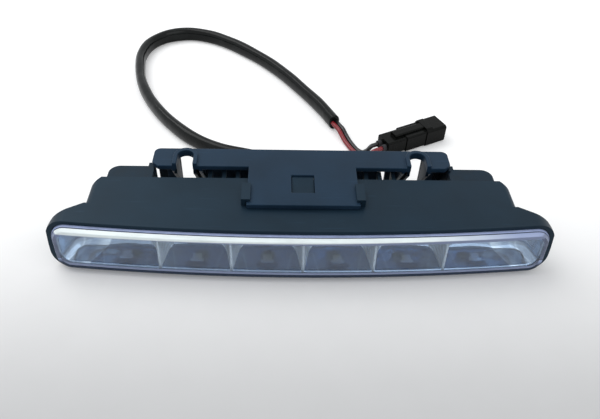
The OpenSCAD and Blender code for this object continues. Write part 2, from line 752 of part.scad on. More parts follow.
// Moulded T bracket with two open screw slots, latch window and braced back flange
module mounting_bracket() in_frame() color("#33475a") difference() {
    union() {
        translate([0, 0, bracket_z]) linear_extrude(bracket_t) bracket_plan();
        for (sx = [0, 1]) mirror([sx, 0, 0]) {
            translate([0, 0, bracket_z]) linear_extrude(bracket_t + slot_lip) slot_plan(slot_wall);
            bracket_flange();
        }
    }
    for (sx = [0, 1]) mirror([sx, 0, 0])
        translate([0, 0, bracket_z - cut]) linear_extrude(bracket_t + slot_lip + 2 * cut) slot_plan(0);
    translate([-window_w / 2, window_y, bracket_z - cut])
        cube([window_w, window_d, bracket_t + 2 * cut]);
    translate([-grommet_flange_d, flange_y - cut, flange_z - cut])
        cube([2 * grommet_flange_d, flange_t + 2 * cut, lead_clear_z - flange_z + cut]);
    translate([notch_x, flange_y - cut, flange_z - cut])
        cube([notch_w, flange_t + 2 * cut, bracket_z - flange_z + cut]);
}

function unit(v) = v / norm(v);
function along(path, i) = unit(path[min(i + 1, len(path) - 1)] - path[max(i - 1, 0)]);
function level_side(t) = unit(cross([0, 0, 1], t));

// Tube along a path with an oval section: half width a across, half height b upright
module tube(path, a, b, sides) {
    count = len(path);
    pts = [for (i = [0 : count - 1])
        let (t = along(path, i), s = level_side(t), up = cross(t, s))
        for (k = [0 : sides - 1]) path[i] + s * a * cos(360 * k / sides) + up * b * sin(360 * k / sides)];
    polyhedron(
        points = pts,
        faces = concat(
            [[for (k = [0 : sides - 1]) k]],
            [for (i = [0 : count - 2], k = [0 : sides - 1])
                [i * sides + k, (i + 1) * sides + k, (i + 1) * sides + (k + 1) % sides]],
            [for (i = [0 : count - 2], k = [0 : sides - 1])
                [i * sides + k, (i + 1) * sides + (k + 1) % sides, i * sides + (k + 1) % sides]],
            [[for (k = [sides - 1 : -1 : 0]) (count - 1) * sides + k]]
        )
    );
}

// One wire of the pair, on the left (-1) or on the right (1) of their common route
function wire_path(side) = [for (i = [0 : len(wire_route) - 1])
    wire_route[i] - side * wire_spread[i] * level_side(along(wire_route, i))];

module cable_sleeve() in_frame() color("#16181a")
    tube(sleeve_route, sleeve_t / 2, sleeve_w / 2, 12);

module red_wire() in_frame() color("#8c1420") tube(wire_path(1), wire_d / 2, wire_d / 2, 8);

module black_wire() in_frame() color("#141517") tube(wire_path(-1), wire_d / 2, wire_d / 2, 8);

// Stands the connector's pieces where the wires end, tail first, mouth along +X
module at_plug()
    in_frame() translate([plug_at[0], plug_at[1], 0]) rotate([0, 0, plug_turn]) children();

// Block along X with rounded long edges, from x0 to x1, w wide and from z0 up to z1
module plug_block(x0, x1, w, z0, z1, r)
    translate([x0, 0, (z0 + z1) / 2]) rotate([90, 0, 90]) linear_extrude(x1 - x0)
        rounded(w, z1 - z0, r);

// Connector body: narrow tail, middle part with latch arm, and collar round the socket
module connector_housing() at_plug() color("#22241f") difference() {
    collar_x = plug_l - collar_l;
    tail_w = plug_w - 2;
    latch_w = plug_w * 0.4;
    latch_rise = 0.8;
    ridge_l = 4;
    ridge_rise = 1;
    union() {
        plug_block(0, tail_l, tail_w, 2 * plug_step, plug_h - 2 * plug_step, 1);
        plug_block(tail_l, collar_x, plug_w - 2 * plug_step, plug_step, plug_h - plug_step, 1);
        plug_block(collar_x, plug_l, plug_w, 0, plug_h, 1.5);
        plug_block(tail_l / 2, collar_x, latch_w, plug_mid_z, plug_h + latch_rise, 0.8);
        plug_block(collar_x, collar_x + ridge_l, tail_w, plug_mid_z, plug_h + ridge_rise, 1);
    }
    plug_block(plug_l - socket_d, plug_l + cut, plug_w - 2 * mouth_wall, mouth_wall,
        plug_h - mouth_wall, 1);
    for (sy = [-1, 1]) translate([0, sy * pin_gap / 2, plug_mid_z]) rotate([0, 90, 0]) {
        translate([0, 0, -cut]) cylinder(d = wire_seal_d + screw_fit, h = tail_l / 2 + cut);
        cylinder(d = pin_d + screw_fit, h = plug_l - socket_d + cut);
    }
}

// Contacts, which end a little inside the mouth
module connector_pins() at_plug() color("#c8ccd0") {
    setback = 3;
    for (sy = [-1, 1]) translate([tail_l / 2, sy * pin_gap / 2, plug_mid_z]) rotate([0, 90, 0])
        cylinder(d = pin_d, h = plug_l - setback - tail_l / 2);
}

// Rubber plugs in the tail, one round the end of each wire
module wire_seals() at_plug() color("#3a3d42")
    for (sy = [-1, 1]) translate([-wire_seal_l, sy * pin_gap / 2, plug_mid_z]) rotate([0, 90, 0])
        cylinder(d = wire_seal_d, h = wire_seal_l + tail_l / 2);

lens();
lens_seal();
front_housing();
reflector();
led(0);  // led_1
led(1);  // led_2
led(2);  // led_3
led(3);  // led_4
led(4);  // led_5
led(5);  // led_6
light_board();
heat_pad();
heat_sink();
back_seal();
driver_board();
ring_coil();
capacitors();
control_chip();
board_screws();
back_screws();
cable_grommet();
mounting_bracket();
cable_sleeve();
red_wire();
black_wire();
connector_housing();
connector_pins();
wire_seals();
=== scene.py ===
"""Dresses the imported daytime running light: its clear lens, bright cells, mouldings, casting, lead and
connector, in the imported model's own frame and in metres, and sets up a plain studio round it."""

import math

import bmesh
import bpy
import numpy as np
from bpy.props import FloatProperty, FloatVectorProperty, IntProperty, PointerProperty
from mathutils import Matrix


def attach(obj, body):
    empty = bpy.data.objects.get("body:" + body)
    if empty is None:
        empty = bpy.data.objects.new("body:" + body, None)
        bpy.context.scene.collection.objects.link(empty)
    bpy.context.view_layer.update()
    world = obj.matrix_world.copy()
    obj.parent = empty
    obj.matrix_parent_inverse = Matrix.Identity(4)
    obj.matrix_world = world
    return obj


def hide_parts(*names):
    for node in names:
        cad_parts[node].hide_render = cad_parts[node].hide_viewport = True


bl_info = {
    "name": "Daytime Running Light",
    "version": (1, 0, 0),
    "blender": (4, 5, 0),
    "location": "3D View > Sidebar > Running Light",
    "description": "Lens, reflector cells, mouldings and lead of a slim daytime running light",
    "category": "Object",
}

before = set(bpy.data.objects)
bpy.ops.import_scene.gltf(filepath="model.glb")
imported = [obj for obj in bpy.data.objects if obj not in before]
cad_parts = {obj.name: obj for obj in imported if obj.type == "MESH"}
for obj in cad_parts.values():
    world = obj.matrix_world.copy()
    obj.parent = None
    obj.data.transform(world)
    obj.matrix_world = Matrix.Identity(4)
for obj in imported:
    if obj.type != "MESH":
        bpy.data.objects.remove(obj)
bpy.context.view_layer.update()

# Distance from the foremost line of the lens, where the source measures from, to the frame's origin
FRONT_TO_ORIGIN = 0.0281625
# Heights between which the painted light and shade of the lens's outermost edge change to those of its foot
EDGE_FOOT = (0.0085, 0.0060)


def number(name, words, value, **kind):
    """A number that the user can set."""
    return FloatProperty(name=name, description=words, default=value, **kind)


def length(name, words, value):
    """A length in metres that the user can set."""
    return number(name, words, value, unit="LENGTH")


def angle(name, words, degrees):
    """An angle that the user can set."""
    return number(name, words, math.radians(degrees), subtype="ANGLE")


def colour(name, words, value):
    """A colour that the user can set."""
    return FloatVectorProperty(
        name=name, description=words, default=value, subtype="COLOR", size=3, min=0, max=1
    )


class LensSizes(bpy.types.PropertyGroup):
    """Sizes of the clear cover."""

    width: length("Width", "End to end", 0.215)
    height: length("Height", "Edge to edge", 0.0224)
    corner: length("Corner", "Radius of its corners", 0.007)
    wall: length("Front wall", "Thickness ahead", 0.0022)
    skirt: length("Skirt", "Thickness of its sides", 0.0016)
    bevel_height: length("Bevel height", "Across the bevelled edge", 0.0012)
    bevel_depth: length("Bevel depth", "How far the bevel falls back", 0.0026)
    back: length("Back edge", "Where the skirt ends", 0.0101)
    bow_radius: length("Bow radius", "Curve of the front along the lamp", 1.01133)
    lean: angle("Lean", "Backward lean of the front", 5)
    middle: length("Middle", "Height of its middle", 0.0132)
    # These three heights place the cover's painted edge tones: a painted highlight over the upper margin,
    # painted shade under the lower margin, and painted light in the strip under the lower strip
    upper_margin: length("Upper margin", "Height over which the margin is bright", 0.0215)
    lower_margin: length("Lower margin", "Height under which the margin is dark", 0.0085)
    lower_strip: length("Lower strip", "Height under which a veiled strip lies inside it", 0.0090)


class CellSizes(bpy.types.PropertyGroup):
    """Sizes of the reflector cells and light sources."""

    count: IntProperty(name="Cells", description="Light sources in the row", default=6)
    pitch: length("Pitch", "From one to the next", 0.031)
    height: length("Height", "Above the ground", 0.0164)
    throat: length("Throat", "Radius at the source", 0.0049)
    floor: length("Floor", "Depth of the throat", 0.0181)
    board: length("Board", "Depth of the board", 0.0195)
    front: length("Front", "Behind the lens face", 0.0028)
    width: length("Width", "Of the whole row", 0.2112)
    rim_height: length("Rim height", "Of the row", 0.0186)
    corner: length("Corner", "Of the row's outline", 0.0051)
    edge: length("Edge", "Between two cells", 0.0008)
    lean: number("Lean", "Share by which a cell narrows", 0.22)
    flute: length("Flute", "Depth of the flutes", 0.00022)
    stripe: length("Stripe", "End of the row to its crease", 0.0128)
    stripe_lean: number("Stripe lean", "How much it turns inwards", 0.75)
    stripe_rise: number("Stripe rise", "Share by which it narrows the cell", 0.2)
    source_radius: length("Source", "Its radius", 0.004)
    dome_radius: length("Dome", "Its radius", 0.0025)


class BracketSizes(bpy.types.PropertyGroup):
    """Sizes of the webs of the bracket."""

    slot_middle: length("Slot", "Its middle along the lamp", 0.0543)
    slot_half: length("Slot half", "Half its width", 0.0037)
    web: length("Web", "Thickness of a web", 0.0014)
    web_low: length("Web foot", "Height of its foot", 0.0105)
    arm_front: length("Arm front", "Behind the lens", 0.0445)
    flange_front: length("Flange", "Behind the lens", 0.0551)
    flange_in: length("Flange inside", "Its inner end", 0.0478)
    flange_end: length("Flange end", "Its outer end", 0.0688)
    flange_low: length("Flange foot", "Its lower edge", 0.0101)
    rib_lap: length("Rib lap", "How far the end rib laps the flange", 0.0004)
    rib_end: length("Rib end", "Outer face of the end rib", 0.0694)
    back: length("Back", "Back of the bracket", 0.0571)
    under_plate: length("Plate", "Inside the plate", 0.0272)


class LeadSizes(bpy.types.PropertyGroup):
    """Sizes of the lead."""

    sleeve_width: length("Sleeve width", "Upright", 0.009)
    sleeve_thickness: length("Sleeve thickness", "Across", 0.0064)
    wire: length("Wire", "Diameter of each wire", 0.0024)


class Finishes(bpy.types.PropertyGroup):
    """Colours of the finishes."""

    moulding: colour("Housing", "Satin moulding of the housing", (0.007, 0.017, 0.029))
    bracket: colour("Bracket", "Satin moulding of the bracket", (0.010, 0.024, 0.046))
    casting: colour("Casting", "Coated casting at the back", (0.007, 0.015, 0.025))
    # Violet of the painted light and painted shade on the cover's edges
    lavender: colour("Lavender", "Darker edges of the cover", (0.33, 0.40, 0.62))
    lens: colour("Lens", "Tint of the clear cover", (0.965, 0.98, 1.0))
    # Colour of the painted highlight on the cover's edge
    lens_edge_highlight: colour("Lens edge", "Bright edge of the cover", (0.90, 0.99, 1.0))
    metal: colour("Cells", "Metallised cells", (0.255, 0.36, 0.50))
    # Colour of the cells' painted light: their side walls, the end-cell stripes and the reflections of the
    # light sources
    cell_painted_light: colour("Pale cells", "Their brighter walls", (0.72, 0.87, 1.0))
    sleeve: colour("Sleeve", "Sleeve of the lead", (0.005, 0.006, 0.006))
    red: colour("Red wire", "Its insulation", (0.22, 0.008, 0.015))
    black: colour("Black wire", "Its insulation", (0.012, 0.012, 0.013))
    connector: colour("Connector", "Its moulding", (0.003, 0.0035, 0.003))
    rubber: colour("Rubber", "Seals and grommet", (0.018, 0.018, 0.020))


class Studio(bpy.types.PropertyGroup):
    """Camera and light."""

    place: FloatVectorProperty(
        name="Camera", description="Where it stands", default=(-0.010202, -0.20643, 0.209187), unit="LENGTH"
    )
    pitch: angle("Pitch", "Below level", 42.95)
    yaw: angle("Yaw", "To the right", 2.53)
    roll: angle("Roll", "Tilt", 2.296)
    lens: number("Lens", "Focal length in millimetres", 37.15)
    sky: number("Sky", "Level of the soft light all round", 0.58)
    key: FloatProperty(name="Key", description="Power of the main softbox", default=4.0, unit="POWER")
    fill: FloatProperty(name="Fill", description="Power of the second softbox", default=2.0, unit="POWER")


# The lead's route, as in the part's source: millimetres, measured back from the lens
SLEEVE_ROUTE = [
    (0, 50, 10.5), (0, 54, 10.5), (-3, 65, 8.6), (-12, 75.5, 5.9), (-26, 82, 4.6), (-42, 87, 4.5),
    (-57, 96.5, 4.5), (-70.5, 110, 4.5), (-81.5, 125, 4.5), (-90, 140.5, 4.5), (-96, 156, 4.5),
    (-99.5, 171.5, 4.5), (-101, 187, 4.5), (-98, 202, 4.5), (-88.5, 213.5, 4.5), (-74, 218, 4.5),
    (-59, 214.5, 4.5), (-44.5, 205.5, 4.5), (-31, 193.5, 4.5), (-18.5, 180, 4.5), (-7, 164.5, 4.5),
    (3.5, 147.5, 4.5), (12.5, 132, 4.5), (20.5, 115, 4.5),
]  # fmt: skip
PLUG_TURN = math.radians(27)
PLUG_WAY = np.array([math.cos(PLUG_TURN), math.sin(PLUG_TURN), 0.0])
WIRE_END = np.array([45.8, 92.9, 5.2]) - 2 * PLUG_WAY
WIRE_ROUTE = [
    (20.5, 115, 4.5), (22.1, 111.6, 4.5), (23.7, 108.2, 4.5), (25.4, 104.6, 2.9), (27.2, 100.7, 1.7),
    (29.2, 96.4, 1.3), (31.4, 92.4, 1.3), (34, 90, 1.5), (37, 89.3, 2.9),
    WIRE_END - 4 * PLUG_WAY, WIRE_END - 2 * PLUG_WAY, WIRE_END,
]  # fmt: skip
WIRE_SPREAD = [1.3, 1.3, 1.3, 1.3, 1.3, 1.3, 1.3, 1.4, 1.7, 2.2, 2.2, 2.2]


# Shapes


def grid_quads(rows, columns, closed=True):
    """Quads of a grid: cell (r, c) joins points (r, c), (r, c + 1), (r + 1, c + 1) and (r + 1, c), where
    column numbers run round again if the grid is closed."""
    r, c = np.meshgrid(np.arange(rows - 1), np.arange(columns if closed else columns - 1), indexing="ij")
    n = (c + 1) % columns
    return np.stack([r * columns + c, r * columns + n, (r + 1) * columns + n, (r + 1) * columns + c], -1)


def in_frame(points):
    """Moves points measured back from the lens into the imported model's frame."""
    moved = np.array(points, float).reshape(-1, 3)
    moved[:, 1] -= FRONT_TO_ORIGIN
    return moved


def linked(name, data):
    """A new object in the scene."""
    piece = bpy.data.objects.new(name, data)
    bpy.context.scene.collection.objects.link(piece)
    return piece


def smooth_whole(mesh, outward=False, flat=False):
    """Merges the doubles of a mesh and smooths it, turns its faces outward where that is asked for, and
    makes its flat faces whole where that is."""
    shape = bmesh.new()
    shape.from_mesh(mesh)
    bmesh.ops.remove_doubles(shape, verts=shape.verts, dist=2e-6)
    if outward:
        bmesh.ops.recalc_face_normals(shape, faces=shape.faces)
    if flat:
        bmesh.ops.dissolve_limit(
            shape, angle_limit=math.radians(0.15), verts=shape.verts, edges=shape.edges, delimit={"NORMAL"}
        )
    for face in shape.faces:
        face.smooth = True
    shape.to_mesh(mesh)
    shape.free()


def new_piece(name, points, quads, finishes, kinds=None, outward=True, attributes=None):
    """A mesh piece from worked-out points and quads, smooth, with its doubles merged."""
    mesh = bpy.data.meshes.new(name)
    quads = np.asarray(quads).reshape(-1, np.shape(quads)[-1])
    mesh.from_pydata(np.asarray(points).tolist(), [], quads.tolist())
    for finish in finishes:
        mesh.materials.append(finish)
    if kinds is not None:
        mesh.polygons.foreach_set("material_index", np.asarray(kinds, np.int32).ravel())
    for key, values in (attributes or {}).items():
        layer = mesh.attributes.new(key, "FLOAT", "POINT")
        layer.data.foreach_set("value", np.asarray(values, np.float32).ravel())
    smooth_whole(mesh, outward)
    return linked(name, mesh)


def softened_copy(node, name, width, finish):
    """A merged copy of a rigid node whose flat faces are whole, with a narrow rounding of the given width
    along each edge sharper than 30 degrees, as a mould or a die leaves it."""
    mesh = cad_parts[node].data.copy()
    mesh.name = name
    smooth_whole(mesh, flat=True)
    mesh.set_sharp_from_angle(angle=math.radians(30))
    mesh.materials.clear()
    mesh.materials.append(finish)
    return rounded_edges(linked(name, mesh), width)


def rounded_edges(piece, width):
    """Rounds each edge sharper than 30 degrees to the given width and keeps flat faces flat."""
    rounding = piece.modifiers.new("Rounded edges", "BEVEL")
    rounding.width = width
    rounding.segments = 2
    rounding.limit_method = "ANGLE"
    rounding.angle_limit = math.radians(30)
    rounding.harden_normals = False
    flat = piece.modifiers.new("Flat faces", "WEIGHTED_NORMAL")
    flat.keep_sharp = False
    flat.weight = 80
    return piece


def place(piece, node_names, slot_name):
    """Fixes a finished piece to the lamp, in the place of the nodes that it stands for."""
    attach(piece, "root")
    if node_names:
        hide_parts(*node_names)
    return piece


def repaint(node, finish):
    """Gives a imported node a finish."""
    for material_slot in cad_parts[node].material_slots:
        material_slot.material = finish


def outline(left, right, low, high, corner_left, corner_right, along, arc, short):
    """Points round a rounded rectangle that reaches so far to each side of its middle, seen from the front
    and against the clock from the right-hand side: each long side is cut into `along` even steps, each
    short side into `short`, and each corner, a quarter of a circle, into `arc`. Also how far each point
    belongs to a short side, and the share of that side that lies before it."""
    xs, zs, sides, shares = [], [], [], []
    corners = [(right, high, corner_right), (-left, high, corner_left)]
    corners += [(-left, -low, corner_left), (right, -low, corner_right)]
    turn = np.linspace(0, math.pi / 2, arc, endpoint=False)
    for quarter, (x1, z1, radius) in enumerate(corners):
        x0, z0, last = corners[quarter - 1]
        upright = quarter % 2 == 0
        share = np.linspace(0, 1, short if upright else along, endpoint=False)
        end_x, end_z = x1 - math.copysign(radius, x1), z1 - math.copysign(radius, z1)
        start_x, start_z = x0 - math.copysign(last, x0), z0 - math.copysign(last, z0)
        if upright:
            straight = np.full(len(share), x1), start_z + (end_z - start_z) * share
        else:
            straight = start_x + (end_x - start_x) * share, np.full(len(share), z1)
        angles = turn + quarter * math.pi / 2
        xs += [straight[0], end_x + radius * np.cos(angles)]
        zs += [straight[1], end_z + radius * np.sin(angles)]
        sides += [np.full(len(share), float(upright)), np.linspace(upright, 1 - upright, arc)]
        shares += [share, np.zeros(arc)]
    return [np.concatenate(part) for part in (xs, zs, sides, shares)]


def rounded_outline(width, height, corner):
    """Points round an even rounded rectangle, whose number doesn't depend on its sizes."""
    corner = max(corner, 0.0)
    halves = (width / 2, width / 2, height / 2, height / 2)
    return outline(*halves, corner, corner, along=150, arc=10, short=8)[:2]


def lamp_front(sizes, x, z):
    """Depth of the bowed, leaning front at (x, z): the fall of a circle away from its crown, plus the
    height above the middle times the tangent of the lean."""
    fall = sizes.bow_radius - np.sqrt(sizes.bow_radius**2 - np.square(x))
    return fall + (z - sizes.middle) * math.tan(sizes.lean)


def smooth_path(points, rows):
    """A smooth curve through points: between two of them a cubic whose slope at each end is the slope
    from the point before to the point after, with chord lengths as the parameter."""
    p = np.array(points, float)
    t = np.concatenate([[0], np.cumsum(np.linalg.norm(np.diff(p, axis=0), axis=1))])
    slope = np.gradient(p, t, axis=0)
    s = np.linspace(0, t[-1], rows)
    i = np.clip(np.searchsorted(t, s, side="right") - 1, 0, len(t) - 2)
    h = (t[i + 1] - t[i])[:, None]
    u = (s - t[i])[:, None] / h
    return (
        (2 * u**3 - 3 * u**2 + 1) * p[i]
        + (u**3 - 2 * u**2 + u) * h * slope[i]
        + (3 * u**2 - 2 * u**3) * p[i + 1]
        + (u**3 - u**2) * h * slope[i + 1]
    )


def level_sides(path):
    """Unit ways along a path, level to its left, and upright on it."""
    way = np.gradient(path, axis=0)
    way /= np.linalg.norm(way, axis=1, keepdims=True)
    side = np.cross([0, 0, 1], way)
    side /= np.linalg.norm(side, axis=1, keepdims=True)
    return way, side, np.cross(way, side)


def tube(path, across, upright, around, power=2.0, caps=3):
    """Points and quads of a closed tube: round each point of the path runs an oval of half width across
    and half height upright, |x / across| ^ power + |y / upright| ^ power = 1, and each end is closed
    by ovals that shrink to a point."""
    way, side, up = level_sides(path)
    angle = np.linspace(0, 2 * math.pi, around, endpoint=False)
    c, s = np.cos(angle), np.sin(angle)
    ex, ey = np.sign(c) * np.abs(c) ** (2 / power), np.sign(s) * np.abs(s) ** (2 / power)
    a = np.broadcast_to(across, len(path))[:, None, None]
    b = np.broadcast_to(upright, len(path))[:, None, None]
    body = path[:, None, :] + a * ex[:, None] * side[:, None, :] + b * ey[:, None] * up[:, None, :]
    share = np.linspace(0, 1, caps + 1, endpoint=False)[:, None, None]
    first = path[0] + (body[0] - path[0]) * share
    last = path[-1] + (body[-1] - path[-1]) * share[::-1]
    rows = np.concatenate([first, body, last])
    return rows.reshape(-1, 3), grid_quads(len(rows), around)


# Finishes


class Finish:
    """A node material with a principled shader, whose patterns read the piece's own Object coordinates."""

    def __init__(self, name, constants=None):
        self.material = bpy.data.materials.new(name)
        self.material.use_nodes = True
        self.tree = self.material.node_tree
        self.tree.nodes.clear()
        self.out = self.add("ShaderNodeOutputMaterial")
        self.shader = self.add("ShaderNodeBsdfPrincipled")
        self.join(self.shader.outputs[0], self.out.inputs["Surface"])
        self.place = self.add("ShaderNodeTexCoord").outputs["Object"]
        for key, value in (constants or {}).items():
            self.feed(self.shader.inputs[key], value)

    def add(self, kind, **settings):
        made = self.tree.nodes.new(kind)
        for key, value in settings.items():
            setattr(made, key, value)
        return made

    def join(self, start, end):
        self.tree.links.new(start, end)

    def feed(self, socket, value):
        """Links an output to a socket, or sets the socket to a number or colour."""
        if isinstance(value, bpy.types.NodeSocket):
            self.join(value, socket)
        elif hasattr(value, "__len__") and len(value) == 3 and socket.type == "RGBA":
            socket.default_value = (*value, 1.0)
        else:
            socket.default_value = value

    def stretched(self, scale, turn=(0, 0, 0)):
        """The piece's coordinates, scaled and turned."""
        mapping = self.add("ShaderNodeMapping")
        mapping.inputs["Scale"].default_value = scale
        mapping.inputs["Rotation"].default_value = turn
        self.join(self.place, mapping.inputs["Vector"])
        return mapping.outputs[0]

    def texture(self, kind, place=None, **numbers):
        """A texture node, laid on the piece's coordinates or on a place of its own."""
        made = self.add(kind)
        for key, value in numbers.items():
            made.inputs[key].default_value = value
        self.join(place or self.place, made.inputs["Vector"])
        return made

    def noise(self, scale, detail=3.0, rough=0.5, place=None):
        numbers = {"Scale": scale, "Detail": detail, "Roughness": rough}
        return self.texture("ShaderNodeTexNoise", place, **numbers).outputs[0]

    def cells(self, scale):
        return self.texture("ShaderNodeTexVoronoi", Scale=scale).outputs["Distance"]

    def waves(self, scale, distortion=0.0, direction="X", profile="SIN"):
        made = self.texture("ShaderNodeTexWave", Scale=scale, Distortion=distortion)
        made.bands_direction, made.wave_profile = direction, profile
        return made.outputs["Fac"]

    def span(self, value, low, high, to_low=0.0, to_high=1.0):
        """Takes low to high onto to_low to to_high, and no further."""
        made = self.add("ShaderNodeMapRange")
        for socket, number in zip(made.inputs[1:5], (low, high, to_low, to_high)):
            socket.default_value = number
        self.join(value, made.inputs[0])
        return made.outputs[0]

    def maths(self, operation, a, b=0.0):
        made = self.add("ShaderNodeMath", operation=operation)
        self.feed(made.inputs[0], a)
        self.feed(made.inputs[1], b)
        return made.outputs[0]

    def mix(self, share, a, b):
        made = self.add("ShaderNodeMix", data_type="RGBA")
        self.feed(made.inputs[0], share)
        self.feed(made.inputs[6], a)
        self.feed(made.inputs[7], b)
        return made.outputs[2]

    def axis(self, which):
        made = self.add("ShaderNodeSeparateXYZ")
        self.join(self.place, made.inputs[0])
        return made.outputs["XYZ".index(which)]

    def attribute(self, name):
        return self.add("ShaderNodeAttribute", attribute_name=name).outputs["Fac"]

    def bump(self, height, distance, strength=1.0):
        made = self.add("ShaderNodeBump")
        made.inputs["Strength"].default_value = strength
        made.inputs["Distance"].default_value = distance
        self.join(height, made.inputs["Height"])
        self.join(made.outputs[0], self.shader.inputs["Normal"])

    def colour(self, value):
        self.feed(self.shader.inputs["Base Color"], value)

    def mottle(self, pattern, low, high, dark, pale):
        """Colours that run from dark to pale as the pattern goes from low to high."""
        self.colour(self.mix(self.span(pattern, low, high), dark, pale))

    def roughness(self, pattern, low, high, smooth, rough):
        """A roughness that runs between two values as the pattern goes from low to high."""
        self.feed(self.shader.inputs["Roughness"], self.span(pattern, low, high, smooth, rough))


def shade(base, factor):
    """A colour made lighter or darker."""
    return tuple(min(1.0, c * factor) for c in base)


def satin_moulding(name, base, gloss):
    """Moulded plastic: a fine spark-eroded grain, faint flow clouds, thin scuffs along the part and a
    slightly polished look where it is handled."""
    made = Finish(name, {"Specular IOR Level": 0.22, "Specular Tint": (0.5, 0.78, 1.0)})
    clouds = made.noise(38.0, 4.0)
    scuffs = made.noise(900.0, 2.0, 0.6, made.stretched((0.06, 1.0, 1.0)))
    scratch = made.span(scuffs, 0.66, 0.74)
    body = made.mix(made.span(clouds, 0.3, 0.7), shade(base, 0.82), shade(base, 1.22))
    made.colour(made.mix(made.maths("MULTIPLY", scratch, 0.35), body, shade(base, 2.6)))
    made.roughness(clouds, 0.3, 0.75, gloss - 0.05, gloss + 0.08)
    made.bump(made.noise(2600.0, 2.0, 0.6), 0.00004, 0.35)
    return made.material


def coated_casting(name, base):
    """Die casting under a thin coat: an uneven grain of fine pits over slow waves, with the coat worn
    paler here and there."""
    made = Finish(name, {"Specular IOR Level": 0.22, "Specular Tint": (0.55, 0.8, 1.0)})
    pits = made.cells(1500.0)
    waves = made.noise(160.0, 5.0, 0.6)
    body = made.mix(made.span(waves, 0.35, 0.7), shade(base, 0.75), shade(base, 1.3))
    made.colour(made.mix(made.span(made.noise(420.0, 3.0), 0.68, 0.78, 0, 0.4), body, shade(base, 3.0)))
    made.roughness(waves, 0.3, 0.7, 0.42, 0.58)
    made.bump(made.maths("ADD", pits, waves), 0.00006, 0.4)
    return made.material


def clear_cover(name, tint):
    """Clear polycarbonate: polished, with a faint haze of fine marks, and lamps shine through it."""
    made = Finish(name, {"Transmission Weight": 1.0, "IOR": 1.49, "Roughness": 0.0})
    made.colour(tint)
    through = made.add("ShaderNodeBsdfTransparent")
    through.inputs[0].default_value = (*tint, 1.0)
    either = made.add("ShaderNodeMixShader")
    made.join(made.add("ShaderNodeLightPath").outputs["Is Shadow Ray"], either.inputs[0])
    made.join(made.shader.outputs[0], either.inputs[1])
    made.join(through.outputs[0], either.inputs[2])
    made.join(either.outputs[0], made.out.inputs["Surface"])
    return made.material


def painted_highlight_edge(name, base, lavender):
    """The cover's edge, with a painted highlight for the light that it gathers: near white in the middle,
    with faint mottling, fading to violet towards the right-hand end, and painted violet shade underneath."""
    made = Finish(name, {"Roughness": 0.22, "Specular IOR Level": 0.5})
    mottle = made.span(made.noise(420.0, 3.0, place=made.stretched((0.25, 1.0, 1.0))), 0.30, 0.62)
    edge_highlight = made.mix(mottle, shade(base, 0.88), base)
    to_right = made.span(made.axis("X"), 0.052, 0.092)
    narrower = made.span(made.axis("X"), -0.09, 0.06, 0.0, 0.0013)
    margin = made.span(made.maths("SUBTRACT", made.axis("Z"), narrower), 0.0219, 0.0215)
    edge = made.mix(to_right, edge_highlight, lavender)
    made.colour(made.mix(margin, edge, shade(lavender, 0.62)))
    return made.material


def veiled_margin_painted_light(name, lavender):
    """The clear margin inside the bright edge, with painted light where the thick corner of the cover gathers
    some: violet painted streaks, paler towards its foot.
    """
    made = Finish(name, {"Transmission Weight": 0.45, "IOR": 1.49, "Roughness": 0.12})
    painted_light_streaks = made.noise(300.0, 3.0, place=made.stretched((0.12, 1.0, 1.0)))
    body = made.mix(made.span(painted_light_streaks, 0.35, 0.65), shade(lavender, 0.45), shade(lavender, 0.75))
    low = made.span(made.axis("Z"), 0.0075, 0.0055)
    made.colour(made.mix(low, body, shade(lavender, 1.2)))
    return made.material


def edge_line(name, lavender):
    """The outermost corner of the cover: a thin painted violet highlight over the rim, and painted shade
    below.
    """
    made = Finish(name, {"Roughness": 0.2, "Specular IOR Level": 0.3})
    line = made.mix(made.noise(260.0), shade(lavender, 0.8), shade(lavender, 1.3))
    made.colour(made.mix(made.span(made.axis("Z"), *EDGE_FOOT), line, (0.012, 0.026, 0.055)))
    return made.material


def edge_groove(name, lavender):
    """The step between the bright edge and the outermost corner, with painted shade above and painted violet
    light below.
    """
    made = Finish(name, {"Specular IOR Level": 0.3, "Roughness": 0.4})
    step = made.mix(made.noise(400.0), (0.02, 0.03, 0.06), (0.05, 0.07, 0.12))
    made.colour(made.mix(made.span(made.axis("Z"), *EDGE_FOOT), step, shade(lavender, 0.7)))
    return made.material


